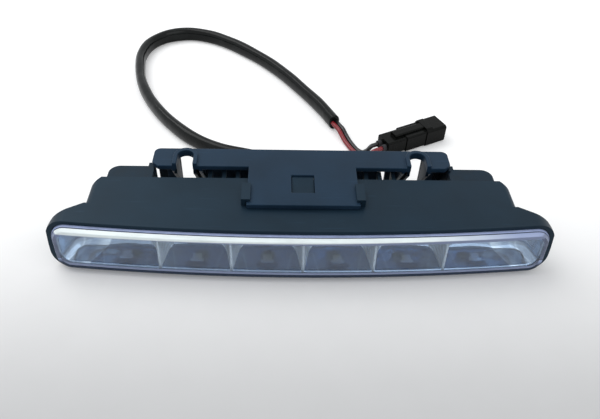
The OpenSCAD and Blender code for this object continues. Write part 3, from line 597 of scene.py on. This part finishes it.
def bright_cells(name, base, pale):
    """Metallised moulding, more metallic and glossier on the floors of the cells than on their side walls.
    The side walls carry painted light: paler, with painted reflection streaks that fan out from the foot of
    each wall; the flat stripes that cross the two end cells carry painted highlights, and the floor before
    each light source its painted reflection."""
    made = Finish(name)
    side = made.attribute("side")
    made.feed(made.shader.inputs["Metallic"], made.span(side, 0.0, 1.0, 0.72, 0.15))
    haze = made.noise(140.0, 3.0)
    fan = made.add("ShaderNodeCombineXYZ")
    made.join(made.attribute("fan"), fan.inputs[0])
    painted_light_streaks = made.span(made.noise(30.0, 3.0, 0.6, fan.outputs[0]), 0.38, 0.60)
    # Painted light on the side walls: pale, with painted reflection streaks
    wall = made.mix(painted_light_streaks, shade(pale, 0.64), pale)
    # Painted highlights across an end cell, from its end (0) past the thin ridge and the flat stripe to the
    # floor (1)
    stripe_highlights = made.add("ShaderNodeValToRGB")
    made.join(made.attribute("facet"), stripe_highlights.inputs[0])
    tones = [(0.0, 0.12), (0.20, 0.18), (0.23, 0.8), (0.26, 0.16), (0.40, 0.25), (0.43, 0.0)]
    tones += [(0.62, 0.12), (0.80, 0.55), (0.97, 0.75), (1.0, 0.0)]
    ramp = stripe_highlights.color_ramp
    while len(ramp.elements) < len(tones):
        ramp.elements.new(0.5)
    for element, (at, tone) in zip(ramp.elements, tones):
        element.position = at
        element.color = (tone, tone, tone, 1.0)
    clear = made.mix(haze, shade(base, 0.85), shade(base, 1.15))
    # The painted reflection of each light source on the floor before it: paler on its slope, and painted
    # shade darker at its foot
    reflection_and_shade = made.attribute("reflection_and_shade")
    clear = made.mix(made.span(reflection_and_shade, 0.0, 1.0, 0.0, 0.6), clear, pale)
    clear = made.mix(made.span(reflection_and_shade, 0.0, -1.0, 0.0, 0.6), clear, shade(base, 0.3))
    floor = made.mix(stripe_highlights.outputs[0], clear, pale)
    made.colour(made.mix(side, floor, wall))
    made.roughness(side, 0.0, 1.0, 0.09, 0.35)
    return made.material


def white_ceramic(name):
    """Glazed ceramic body of a light source."""
    made = Finish(name, {"Coat Weight": 0.3})
    made.colour(made.mix(made.noise(900.0), (0.62, 0.66, 0.70), (0.80, 0.83, 0.86)))
    made.roughness(made.noise(500.0), 0.3, 0.7, 0.3, 0.4)
    return made.material


def phosphor(name):
    """Yellow phosphor under a clear silicone dome."""
    made = Finish(name, {"Coat Weight": 1.0, "Coat Roughness": 0.05})
    made.colour(made.mix(made.noise(1400.0, 2.0), (0.50, 0.47, 0.10), (0.72, 0.68, 0.22)))
    made.roughness(made.noise(800.0), 0.3, 0.7, 0.45, 0.55)
    return made.material


def matt_rubber(name, base):
    """Moulded rubber with a dusty bloom."""
    made = Finish(name, {"Specular IOR Level": 0.3})
    bloom = made.noise(180.0, 5.0, 0.65)
    made.mottle(bloom, 0.4, 0.75, base, shade(base, 2.2))
    made.roughness(bloom, 0.3, 0.7, 0.55, 0.75)
    made.bump(made.noise(1800.0, 2.0), 0.00003, 0.4)
    return made.material


def glossy_sleeve(name, base):
    """Soft glossy sleeve: long faint ripples, fine wrinkles and a few dull rubbed patches."""
    made = Finish(name, {"Specular IOR Level": 0.16})
    rubbed = made.noise(70.0, 4.0, 0.6)
    made.mottle(rubbed, 0.45, 0.75, base, shade(base, 2.0))
    made.roughness(rubbed, 0.35, 0.75, 0.07, 0.2)
    ripples = made.maths("ADD", made.noise(170.0, 2.0), made.maths("MULTIPLY", made.noise(620.0), 0.15))
    made.bump(ripples, 0.0005, 0.5)
    return made.material


def insulation(name, base):
    """Extruded insulation: a soft gloss with faint drawing marks."""
    made = Finish(name, {"Specular IOR Level": 0.5})
    marks = made.noise(500.0, 3.0)
    made.mottle(marks, 0.3, 0.7, shade(base, 0.8), shade(base, 1.25))
    made.roughness(marks, 0.3, 0.7, 0.24, 0.36)
    made.bump(marks, 0.00004, 0.3)
    return made.material


def filled_moulding(name, base):
    """Glass-filled moulding: a glossy skin with faint pale fibres that lie along the flow."""
    made = Finish(name, {"Specular IOR Level": 0.09})
    fibres = made.noise(2400.0, 2.0, place=made.stretched((0.2, 1.0, 1.0), (0, 0, -PLUG_TURN)))
    made.mottle(fibres, 0.55, 0.75, base, shade(base, 2.2))
    made.roughness(made.noise(300.0), 0.3, 0.7, 0.16, 0.30)
    made.bump(fibres, 0.00003, 0.35)
    return made.material


def plated_steel(name, base=(0.50, 0.52, 0.55)):
    """Plated steel with turning marks."""
    made = Finish(name, {"Metallic": 1.0})
    marks = made.waves(900.0, 2.0, "Y")
    made.mottle(marks, 0.2, 0.8, shade(base, 0.8), shade(base, 1.15))
    made.roughness(made.noise(600.0), 0.3, 0.7, 0.25, 0.4)
    made.bump(marks, 0.00002, 0.4)
    return made.material


def coated_board(name, mask, track):
    """Circuit board: a coat over a pattern of wide copper tracks with round pads."""
    made = Finish(name, {"Coat Weight": 0.4})
    wide = made.span(made.waves(110.0, 0.0, "X", profile="TRI"), 0.46, 0.54)
    lanes = made.span(made.waves(160.0, 0.0, "Z", profile="TRI"), 0.46, 0.54)
    pads = made.span(made.cells(240.0), 0.16, 0.12)
    copper = made.maths("MAXIMUM", made.maths("MULTIPLY", wide, lanes), pads)
    made.colour(made.mix(copper, mask, track))
    made.roughness(copper, 0, 1, 0.38, 0.3)
    made.bump(copper, 0.00004, 0.5)
    return made.material


def wound_copper(name):
    """Lacquered copper winding: turns that run through the ring, side by side."""
    made = Finish(name, {"Metallic": 0.9})
    turns = made.waves(420.0, 0.4, "DIAGONAL")
    made.colour(made.mix(turns, (0.30, 0.10, 0.03), (0.72, 0.34, 0.14)))
    made.roughness(turns, 0, 1, 0.42, 0.24)
    made.bump(turns, 0.0002, 0.8)
    return made.material


def soft_pad(name):
    """Grey-blue heat pad with a woven face."""
    made = Finish(name)
    weave = made.maths("MULTIPLY", made.waves(700.0, 0, "X"), made.waves(700.0, 0, "Z"))
    made.colour(made.mix(weave, (0.22, 0.28, 0.36), (0.34, 0.42, 0.52)))
    made.roughness(weave, 0, 1, 0.9, 0.7)
    made.bump(weave, 0.00008, 0.5)
    return made.material


# Operators


class DRL_OT_lens(bpy.types.Operator):
    """Make the clear cover with its bright edge"""

    bl_idname = "drl.lens"
    bl_label = "Clear Lens"

    def execute(self, context):
        sizes, finishes = context.scene.drl_lens, context.scene.drl_finishes
        half = sizes.height / 2
        h, d = sizes.bevel_height, sizes.bevel_depth
        # Rings from the middle line of the face out, round the edge and back in again: how far each is
        # drawn in from the outline, how far it lies behind the face, and a depth where it is level
        insets = [half * k for k in (1, 0.86, 0.68, 0.5, 0.36, 0.25, 0.17)]
        rings = [(i, 0, None) for i in insets] + [(h * 1.06, 0, None), (h * 0.98, d * 0.03, None)]
        rings += [(h * 0.9, d * 0.1, None), (h * 0.5, d * 0.48, None), (h * 0.34, d * 0.64, None)]
        groove = len(rings) - 1
        rings += [(h * 0.33, d * 0.74, None), (h * 0.22, d * 0.82, None)]
        rings += [(h * 0.20, d * 0.76, None), (h * 0.03, d * 0.84, None), (0, d * 0.92, None)]
        line = len(rings)
        rings += [(0, 0, sizes.back - 0.0003), (0, 0, sizes.back), (sizes.skirt, 0, sizes.back)]
        rings += [(sizes.skirt, sizes.wall + 0.0006, None), (sizes.skirt + 0.0001, sizes.wall, None)]
        rings += [(max(i, sizes.skirt + 0.0003), sizes.wall, None) for i in insets[::-1]]
        rows = []
        for inset, behind, level in rings:
            x, z = rounded_outline(sizes.width - 2 * inset, sizes.height - 2 * inset, sizes.corner - inset)
            z = z + sizes.middle
            y = lamp_front(sizes, x, z) + behind if level is None else np.full_like(x, level)
            rows.append(np.stack([x, y, z], 1))
        rows = np.array(rows)
        quads = grid_quads(len(rows), rows.shape[1])
        # Which rows of faces carry which finish: clear face, veiled margin with painted light, bright edge
        # with its painted highlight, step and outer line with painted light and shade
        kinds = np.zeros(quads.shape[:2], int)
        height = (rows[:-1, :, 2] + rows[1:, :, 2]) / 2
        margin, strip = slice(len(insets) - 2, len(insets)), len(insets) - 3
        above, below = height[margin] > sizes.upper_margin, height[margin] < sizes.lower_margin
        kinds[margin] = np.where(above, 1, np.where(below, 3, 2))
        kinds[strip] = np.where(height[strip] < sizes.lower_strip, 2, 0)
        kinds[len(insets) : groove] = 1
        kinds[groove : groove + 2] = 4
        kinds[groove + 2 : line] = 3
        clear = clear_cover("Clear polycarbonate", finishes.lens)
        edge_highlight = painted_highlight_edge("Lens edge painted highlight", finishes.lens_edge_highlight, finishes.lavender)
        veil_and_painted_light = veiled_margin_painted_light("Veiled lens margin with painted light", finishes.lavender)
        corner = edge_line("Lens corner", finishes.lavender)
        step = edge_groove("Lens edge step", finishes.lavender)
        skins = [clear, edge_highlight, veil_and_painted_light, corner, step]
        piece = new_piece("clear_lens_cover", in_frame(rows), quads, skins, kinds)
        place(piece, ["lens"], "clear_lens")
        return {"FINISHED"}


def source_reflection_and_shade(across, into):
    """The painted reflection of a light source on the floor of its cell, so far across from the source and so
    far in from the rim: 1 on a slope that is wider at the rim, 0.6 on a slanting line at each side of it, and
    -1 on an oval of painted shade at its foot, with soft borders."""
    half_width = np.where(into < 0.0065, 0.0031, 0.0022)
    near, far, border = 0.0045, 0.0092, 0.0006
    slope = np.clip((half_width - across) / 0.0005, 0, 1)
    slope = slope * np.clip((into - near) / border, 0, 1) * np.clip((far - into) / border, 0, 1)
    oval = np.clip((1 - np.hypot(across / 0.0058, (into - 0.0036) / 0.0026)) / 0.3, 0, 1)
    off_line = np.abs(across - 0.0085 - 0.25 * into) / 0.0004
    slope = np.maximum(slope, 0.6 * np.clip(1 - off_line, 0, 1) * (into < 0.010))
    return slope - oval * (1 - slope)


class DRL_OT_reflector(bpy.types.Operator):
    """Make the bright moulding with its six trumpet-shaped cells"""

    bl_idname = "drl.reflector"
    bl_label = "Reflector Cells"

    def execute(self, context):
        lens, cells = context.scene.drl_lens, context.scene.drl_cells
        points, quads, sides, fans, facets, reflections_and_shades, first = [], [], [], [], [], [], 0
        low = cells.height - lens.middle + cells.rim_height / 2
        high = cells.rim_height / 2 - cells.height + lens.middle
        inner, edge = cells.pitch / 2, cells.edge
        cuts = (60, 8, 36)
        steps = np.linspace(0, 1, 34) ** 2.2
        for i in range(cells.count):
            x0 = (i - (cells.count - 1) / 2) * cells.pitch
            outer = cells.width / 2 - abs(x0)
            at_left, at_right = i == 0, i == cells.count - 1
            left, right = (outer if at_left else inner), (outer if at_right else inner)
            round_left = cells.corner if at_left else 0.0006
            round_right = cells.corner if at_right else 0.0006
            rows, tones = [], []
            x, z, side, share = outline(
                left - (edge if at_left else edge / 2),
                right - (edge if at_right else edge / 2),
                low - edge,
                high - edge,
                max(round_left - edge, 0.0004),
                max(round_right - edge, 0.0004),
                *cuts,
            )
            m = np.hypot(x, z)
            flutes = np.where(np.abs(x) > inner, 7, 5)
            ripple = side * (0.5 - 0.5 * np.cos(2 * math.pi * flutes * share))
            # Inwards from the end of the row, less a share of the depth: level with 1 at the crease of the
            # flat stripe that crosses an end cell, and never under it in the other cells
            facet_rows = []
            for u in steps:
                r = m * (1 - cells.lean * (1 - u)) - (m * (1 - cells.lean) - cells.throat) * (1 - u) ** 8
                r = r - ripple * cells.flute * math.sin(math.pi * min(1.0, u * 1.2))
                k = r / m
                y1 = lamp_front(lens, x0 + x, cells.height + z) + cells.front
                y = cells.floor + (y1 - cells.floor) * u
                depth = y - y1
                inward = cells.width / 2 - np.abs(x0 + x * k)
                across = np.maximum((inward - cells.stripe_lean * depth) / cells.stripe, 0.0)
                facet = np.where(at_left | at_right, across, 2.0)
                rise = cells.stripe_rise * depth * np.clip(1 - facet, 0, 1)
                rise = rise * np.clip((r - cells.throat) / 0.004, 0, 1)
                pinched = z * k - np.sign(z) * np.minimum(rise, np.abs(z * k) * 0.6)
                rows.append(np.stack([x0 + x * k, y, cells.height + pinched], 1))
                # Share of the side walls' finish and painted light, which the flat stripe of an end cell
                # takes away
                tones.append(side * np.where(facet < 1, 0.0, 1.0))
                facet_rows.append(facet)
            rim_x, rim_z, _, _ = outline(left, right, low, high, round_left, round_right, *cuts)
            rim_y = lamp_front(lens, x0 + rim_x, cells.height + rim_z) + cells.front
            rows.append(np.stack([x0 + rim_x, rim_y, cells.height + rim_z], 1))
            # The rim row takes a little over half of the side walls' finish and painted light
            tones.append(np.full(len(x), 0.55))
            foot = cells.throat * np.stack([x / m, z / m], 1)
            board = np.full(len(x), cells.board)
            rows.insert(0, np.stack([x0 + foot[:, 0], board, cells.height + foot[:, 1]], 1))
            tones.insert(0, np.zeros(len(x)))
            facet_rows = [facet_rows[0], *facet_rows, np.full(len(x), 2.0)]
            rows = np.array(rows)
            # The angle, seen from the foot of the mouth, at which a point stands: 0 level, 1 upright; the
            # painted reflection streaks on the walls fan out along it
            over = rows[..., 2] - (cells.height - low)
            into = np.maximum(rows[..., 1] - rows[-1, :, 1].min(), 1e-6)
            fans.append((np.arctan2(over, into) / (math.pi / 2)).ravel())
            on_floor = rows[..., 2] < cells.height
            reflections_and_shades.append((on_floor * source_reflection_and_shade(np.abs(rows[..., 0] - x0), into)).ravel())
            facets.append(np.array(facet_rows).ravel())
            points.append(rows.reshape(-1, 3))
            sides.append(np.array(tones).ravel())
            quads.append(grid_quads(len(rows), rows.shape[1]).reshape(-1, 4) + first)
            first += rows.shape[0] * rows.shape[1]
        x, z = rounded_outline(cells.width, cells.rim_height, cells.corner)
        z = z + lens.middle
        y = lamp_front(lens, x, z) + cells.front
        skirt = np.array([np.stack([x, y, z], 1), np.stack([x, np.full_like(x, cells.floor), z], 1)])
        points.append(skirt.reshape(-1, 3))
        for layer, value in ((sides, 0.0), (fans, 0.0), (facets, 2.0), (reflections_and_shades, 0.0)):
            layer.append(np.full(skirt.shape[0] * skirt.shape[1], value))
        quads.append(grid_quads(2, len(x))[..., ::-1].reshape(-1, 4) + first)
        finishes = context.scene.drl_finishes
        finish = bright_cells("Metallised cells", finishes.metal, finishes.cell_painted_light)
        piece = new_piece(
            "reflector_cells",
            in_frame(np.concatenate(points)),
            np.concatenate(quads),
            [finish],
            outward=False,
            attributes={
                "side": np.concatenate(sides),
                "fan": np.concatenate(fans),
                "facet": np.concatenate(facets),
                "reflection_and_shade": np.concatenate(reflections_and_shades),
            },
        )
        place(piece, ["reflector"], "bright_reflector")
        return {"FINISHED"}


class DRL_OT_light_sources(bpy.types.Operator):
    """Make the light sources: a glazed white ring with a yellow dome each"""

    bl_idname = "drl.light_sources"
    bl_label = "Light Sources"

    def execute(self, context):
        cells = context.scene.drl_cells
        body, glow = white_ceramic("White ceramic"), phosphor("Yellow phosphor")
        r, d = cells.source_radius, cells.dome_radius
        # The profile that is turned round the axis: radius, and distance ahead of the board
        profile = [(r, 0), (r, 0.0009), (r - 0.0001, 0.0011), (r - 0.0003, 0.0012), (r - 0.001, 0.0012)]
        profile += [(d + 0.0002, 0.00105), (d, 0.001)]
        ring = len(profile) - 1
        dome = np.linspace(0.12, 1, 9)
        profile += [(d * math.cos(a), 0.0012 + 0.0016 * math.sin(a)) for a in dome * math.pi / 2]
        turn = np.linspace(0, 2 * math.pi, 48, endpoint=False)
        radius, ahead = np.array(profile).T
        for i in range(cells.count):
            x0 = (i - (cells.count - 1) / 2) * cells.pitch
            rows = np.stack(
                [
                    x0 + radius[:, None] * np.cos(turn),
                    np.broadcast_to(cells.board - ahead[:, None], (len(profile), len(turn))),
                    cells.height + radius[:, None] * np.sin(turn),
                ],
                -1,
            )
            quads = grid_quads(len(profile), len(turn))
            kinds = np.zeros(quads.shape[:2], int)
            kinds[ring:] = 1
            name = f"light_source_{i + 1}"
            piece = new_piece(name, in_frame(rows), quads, [body, glow], kinds)
            place(piece, [f"led_{i + 1}"], "light_source")
        return {"FINISHED"}


class DRL_OT_mouldings(bpy.types.Operator):
    """Make the housing, the bracket and the cast heat sink with rounded edges"""

    bl_idname = "drl.mouldings"
    bl_label = "Mouldings and Casting"

    def execute(self, context):
        finishes = context.scene.drl_finishes
        housing = satin_moulding("Satin housing moulding", finishes.moulding, 0.40)
        bracket = satin_moulding("Satin bracket moulding", finishes.bracket, 0.44)
        width = 0.00035
        copy = softened_copy("front_housing", "moulded_housing", width, housing)
        place(copy, ["front_housing"], "black_moulding")
        copy = softened_copy("mounting_bracket", "slotted_bracket", width, bracket)
        place(copy, ["mounting_bracket"], "bracket_moulding")
        # The slot webs take the bracket's colour darkened to three tenths, as painted shade
        painted_shade_moulding = satin_moulding("Slot moulding with painted shade", shade(finishes.bracket, 0.3), 0.5)
        self.make_webs(context.scene.drl_bracket, painted_shade_moulding)
        casting = coated_casting("Coated casting", finishes.casting)
        place(softened_copy("heat_sink", "cast_heat_sink", 0.0003, casting), ["heat_sink"], "black_casting")
        return {"FINISHED"}

    def make_webs(self, sizes, finish):
        """The webs that line each screw slot down to the flange, and the flange's ends: upright plates,
        each a four-cornered profile in depth and height, carried from one place along the lamp to another."""
        top, low, deep = sizes.under_plate, sizes.flange_low, sizes.web_low
        front, flange, back = sizes.arm_front, sizes.flange_front, sizes.back
        web = [(front, top), (front, top - 0.0035), (flange, deep), (flange, top)]
        end = [(flange, top), (flange, low), (back, low), (back, top)]
        inner, outer = sizes.slot_middle - sizes.slot_half, sizes.slot_middle + sizes.slot_half
        plates = [(inner - sizes.web, inner, web), (outer, outer + sizes.web, web)]
        plates += [(sizes.flange_in, inner, end), (outer, sizes.flange_end, end)]
        points, quads, first = [], [], 0
        # The right end is closed by a rib that runs forward under the plate
        forward = [(front, top), (front, deep), (back, low), (back, top)]
        rib = (sizes.flange_end - sizes.rib_lap, sizes.rib_end, forward)
        for side in (-1, 1):
            for x0, x1, profile in plates + [rib] * (side > 0):
                y, z = np.array(profile).T
                ends = sorted((side * x0, side * x1))
                rows = [np.stack([np.full(4, x), y, z], 1) for x in ends]
                rows = [np.tile(rows[0].mean(0), (4, 1)), *rows, np.tile(rows[1].mean(0), (4, 1))]
                points.append(np.concatenate(rows))
                quads.append(grid_quads(4, 4).reshape(-1, 4) + first)
                first += 16
        webs = new_piece("slot_webs", in_frame(np.concatenate(points)), np.concatenate(quads), [finish])
        webs.data.set_sharp_from_angle(angle=math.radians(30))
        place(rounded_edges(webs, 0.0002), [], "bracket_moulding")


class DRL_OT_lead(bpy.types.Operator):
    """Make the sleeved lead and its two wires"""

    bl_idname = "drl.lead"
    bl_label = "Lead"

    def execute(self, context):
        sizes, finishes = context.scene.drl_lead, context.scene.drl_finishes
        route = smooth_path(SLEEVE_ROUTE, 420) * 0.001
        half = sizes.sleeve_width / 2
        route[:, 2] = np.maximum(route[:, 2], half)
        path = in_frame(route)
        along = np.concatenate([[0], np.cumsum(np.linalg.norm(np.diff(path, axis=0), axis=1))])
        # The sleeve is a little fuller in places, and flares at its open end
        swell = 0.96 + 0.025 * np.sin(along * 190) * np.sin(along * 47 + 1.0)
        flare = np.clip((along - along[-1] + 0.012) / 0.012, 0, 1)
        across = sizes.sleeve_thickness / 2 * (swell + 0.04 * np.sin(flare * math.pi * 0.9))
        points, quads = tube(path, across, half * np.minimum(swell + 0.015, 1.0), 32, 2.3)
        sleeve = new_piece(
            "lead_sleeve", points, quads, [glossy_sleeve("Glossy sleeve", finishes.sleeve)]
        )
        place(sleeve, ["cable_sleeve"], "sleeve_plastic")
        wires = [("red", 1, "red_wire", "red_insulation", finishes.red)]
        wires += [("black", -1, "black_wire", "black_insulation", finishes.black)]
        for word, side, node, slot_name, paint in wires:
            rough = np.array(WIRE_ROUTE, float)
            way = np.gradient(rough, axis=0)
            left = np.cross([0, 0, 1], way)
            left /= np.linalg.norm(left, axis=1, keepdims=True)
            strand = rough - side * np.array(WIRE_SPREAD)[:, None] * left
            line = in_frame(smooth_path(strand, 140) * 0.001)
            line[:, 2] = np.maximum(line[:, 2], sizes.wire / 2)
            points, quads = tube(line, sizes.wire / 2, sizes.wire / 2, 20)
            wire = new_piece(
                f"lead_wire_{word}", points, quads, [insulation(f"{word.capitalize()} insulation", paint)]
            )
            place(wire, [node], slot_name)
        return {"FINISHED"}


class DRL_OT_connector(bpy.types.Operator):
    """Make the connector body and finish its contacts and seals"""

    bl_idname = "drl.connector"
    bl_label = "Connector"

    def execute(self, context):
        finishes = context.scene.drl_finishes
        moulding = filled_moulding("Glass-filled moulding", finishes.connector)
        body = softened_copy("connector_housing", "connector_body", 0.00025, moulding)
        place(body, ["connector_housing"], "connector_plastic")
        repaint("connector_pins", plated_steel("Tinned contacts", (0.62, 0.60, 0.54)))
        repaint("wire_seals", matt_rubber("Seal rubber", shade(finishes.rubber, 1.6)))
        return {"FINISHED"}


class DRL_OT_inside(bpy.types.Operator):
    """Finish what is inside the lamp, its seals and its screws"""

    bl_idname = "drl.inside"
    bl_label = "Inside, Seals and Screws"

    def execute(self, context):
        finishes = context.scene.drl_finishes
        rubber = matt_rubber("Matt rubber", finishes.rubber)
        for node in ("lens_seal", "back_seal", "cable_grommet"):
            repaint(node, rubber)
        steel = plated_steel("Plated steel")
        for node in ("board_screws", "back_screws"):
            repaint(node, steel)
        repaint("light_board", coated_board("White coated board", (0.74, 0.76, 0.78), (0.86, 0.87, 0.88)))
        repaint("driver_board", coated_board("Green coated board", (0.02, 0.12, 0.05), (0.05, 0.24, 0.10)))
        repaint("heat_pad", soft_pad("Heat pad"))
        repaint("ring_coil", wound_copper("Copper winding"))
        dark = satin_moulding("Black part moulding", (0.02, 0.02, 0.022), 0.35)
        for node in ("capacitors", "control_chip"):
            repaint(node, dark)
        return {"FINISHED"}


class DRL_OT_studio(bpy.types.Operator):
    """Set up the floor, the soft light and the camera"""

    bl_idname = "drl.studio"
    bl_label = "Studio"

    def execute(self, context):
        studio = context.scene.drl_studio
        camera = linked("Studio camera", bpy.data.cameras.new("Studio camera"))
        camera.data.sensor_width = 36.0
        camera.data.lens = studio.lens
        camera.data.clip_start = 0.01
        turn = Matrix.Rotation(-studio.yaw, 4, "Z") @ Matrix.Rotation(math.pi / 2 - studio.pitch, 4, "X")
        turn = turn @ Matrix.Rotation(studio.roll, 4, "Z")
        camera.matrix_world = Matrix.Translation(studio.place) @ turn
        context.scene.camera = camera
        self.make_floor(context)
        self.make_lights(context, studio)
        self.make_sky(context, studio)
        context.scene.view_settings.view_transform = "Standard"
        return {"FINISHED"}

    def make_floor(self, context):
        """A level square with painted shade: its colour is darker towards the camera, and for camera rays it
        is lifted paler away from the camera.
        """
        side = np.linspace(-3, 3, 13)
        x, y = np.meshgrid(side, side)
        points = np.stack([x, y, np.full_like(x, -0.00002)], -1).reshape(-1, 3)
        made = Finish("Studio paper", {"Specular IOR Level": 0.1, "Roughness": 0.9})
        # Painted shade: darker towards the camera, paler away from it
        back = made.span(made.axis("Y"), -0.095, 0.02)
        grain = made.span(made.noise(60.0, 4.0), 0.3, 0.7, 0.985, 1.0)
        tone = made.mix(back, (0.60, 0.602, 0.605), (0.95, 0.95, 0.95))
        made.colour(made.mix(grain, (0, 0, 0), tone))
        made.shader.inputs["Emission Color"].default_value = (1, 1, 1, 1)
        seen = made.add("ShaderNodeLightPath").outputs["Is Camera Ray"]
        lift = made.maths("MULTIPLY", seen, made.span(made.axis("Y"), -0.08, 0.08, 0.0, 0.22))
        made.join(lift, made.shader.inputs["Emission Strength"])
        floor = new_piece("studio_floor", points, grid_quads(13, 13, False), [made.material], outward=False)

    def make_lights(self, context, studio):
        """Two large softboxes aimed at the lamp."""
        boxes = [("Key softbox", (-0.45, 0.25, 0.75), 0.7, studio.key)]
        boxes += [("Fill softbox", (0.5, -0.5, 0.7), 0.8, studio.fill)]
        for name, at, size, power in boxes:
            light = bpy.data.lights.new(name, "AREA")
            light.shape = "SQUARE"
            light.size = size
            light.energy = power
            lamp = linked(name, light)
            back = Matrix.Translation(at).to_translation().normalized()
            lamp.matrix_world = Matrix.Translation(at) @ back.to_track_quat("Z", "Y").to_matrix().to_4x4()

    def make_sky(self, context, studio):
        """White where it is seen, directly or in gloss and glass, and a softer level where it lights."""
        world = bpy.data.worlds.new("Soft sky")
        context.scene.world = world
        world.use_nodes = True
        tree = world.node_tree
        tree.nodes.clear()
        out, sky = tree.nodes.new("ShaderNodeOutputWorld"), tree.nodes.new("ShaderNodeBackground")
        rays = tree.nodes.new("ShaderNodeLightPath")
        seen = rays.outputs["Is Camera Ray"]
        for kind in ("Is Glossy Ray", "Is Transmission Ray"):
            add = tree.nodes.new("ShaderNodeMath")
            add.operation = "MAXIMUM"
            tree.links.new(seen, add.inputs[0])
            tree.links.new(rays.outputs[kind], add.inputs[1])
            seen = add.outputs[0]
        level = tree.nodes.new("ShaderNodeMapRange")
        level.inputs["To Min"].default_value = studio.sky
        level.inputs["To Max"].default_value = 1.0
        tree.links.new(seen, level.inputs["Value"])
        tree.links.new(level.outputs[0], sky.inputs["Strength"])
        sky.inputs["Color"].default_value = (0.96, 0.98, 1.0, 1.0)
        tree.links.new(sky.outputs[0], out.inputs["Surface"])


OPERATORS = (
    DRL_OT_studio,
    DRL_OT_connector,
    DRL_OT_lead,
    DRL_OT_lens,
    DRL_OT_reflector,
    DRL_OT_light_sources,
    DRL_OT_mouldings,
    DRL_OT_inside,
)


class DRL_PT_panel(bpy.types.Panel):
    """Lists the steps that dress the lamp."""

    bl_label = "Daytime Running Light"
    bl_space_type = "VIEW_3D"
    bl_region_type = "UI"
    bl_category = "Running Light"

    def draw(self, context):
        for operator in OPERATORS:
            self.layout.operator(operator.bl_idname)


GROUPS = {
    "drl_lens": LensSizes,
    "drl_cells": CellSizes,
    "drl_bracket": BracketSizes,
    "drl_lead": LeadSizes,
    "drl_finishes": Finishes,
    "drl_studio": Studio,
}


def register():
    """Registers the settings, the operators and the panel."""
    for key, group in GROUPS.items():
        bpy.utils.register_class(group)
        setattr(bpy.types.Scene, key, PointerProperty(type=group))
    for operator in OPERATORS:
        bpy.utils.register_class(operator)
    bpy.utils.register_class(DRL_PT_panel)


def unregister():
    """Takes them out again."""
    bpy.utils.unregister_class(DRL_PT_panel)
    for operator in reversed(OPERATORS):
        bpy.utils.unregister_class(operator)
    for key, group in GROUPS.items():
        delattr(bpy.types.Scene, key)
        bpy.utils.unregister_class(group)


def main():
    """Makes everything in order."""
    register()
    for operator in OPERATORS:
        area, name = operator.bl_idname.split(".")
        getattr(getattr(bpy.ops, area), name)()


if __name__ == "__main__":
    main()
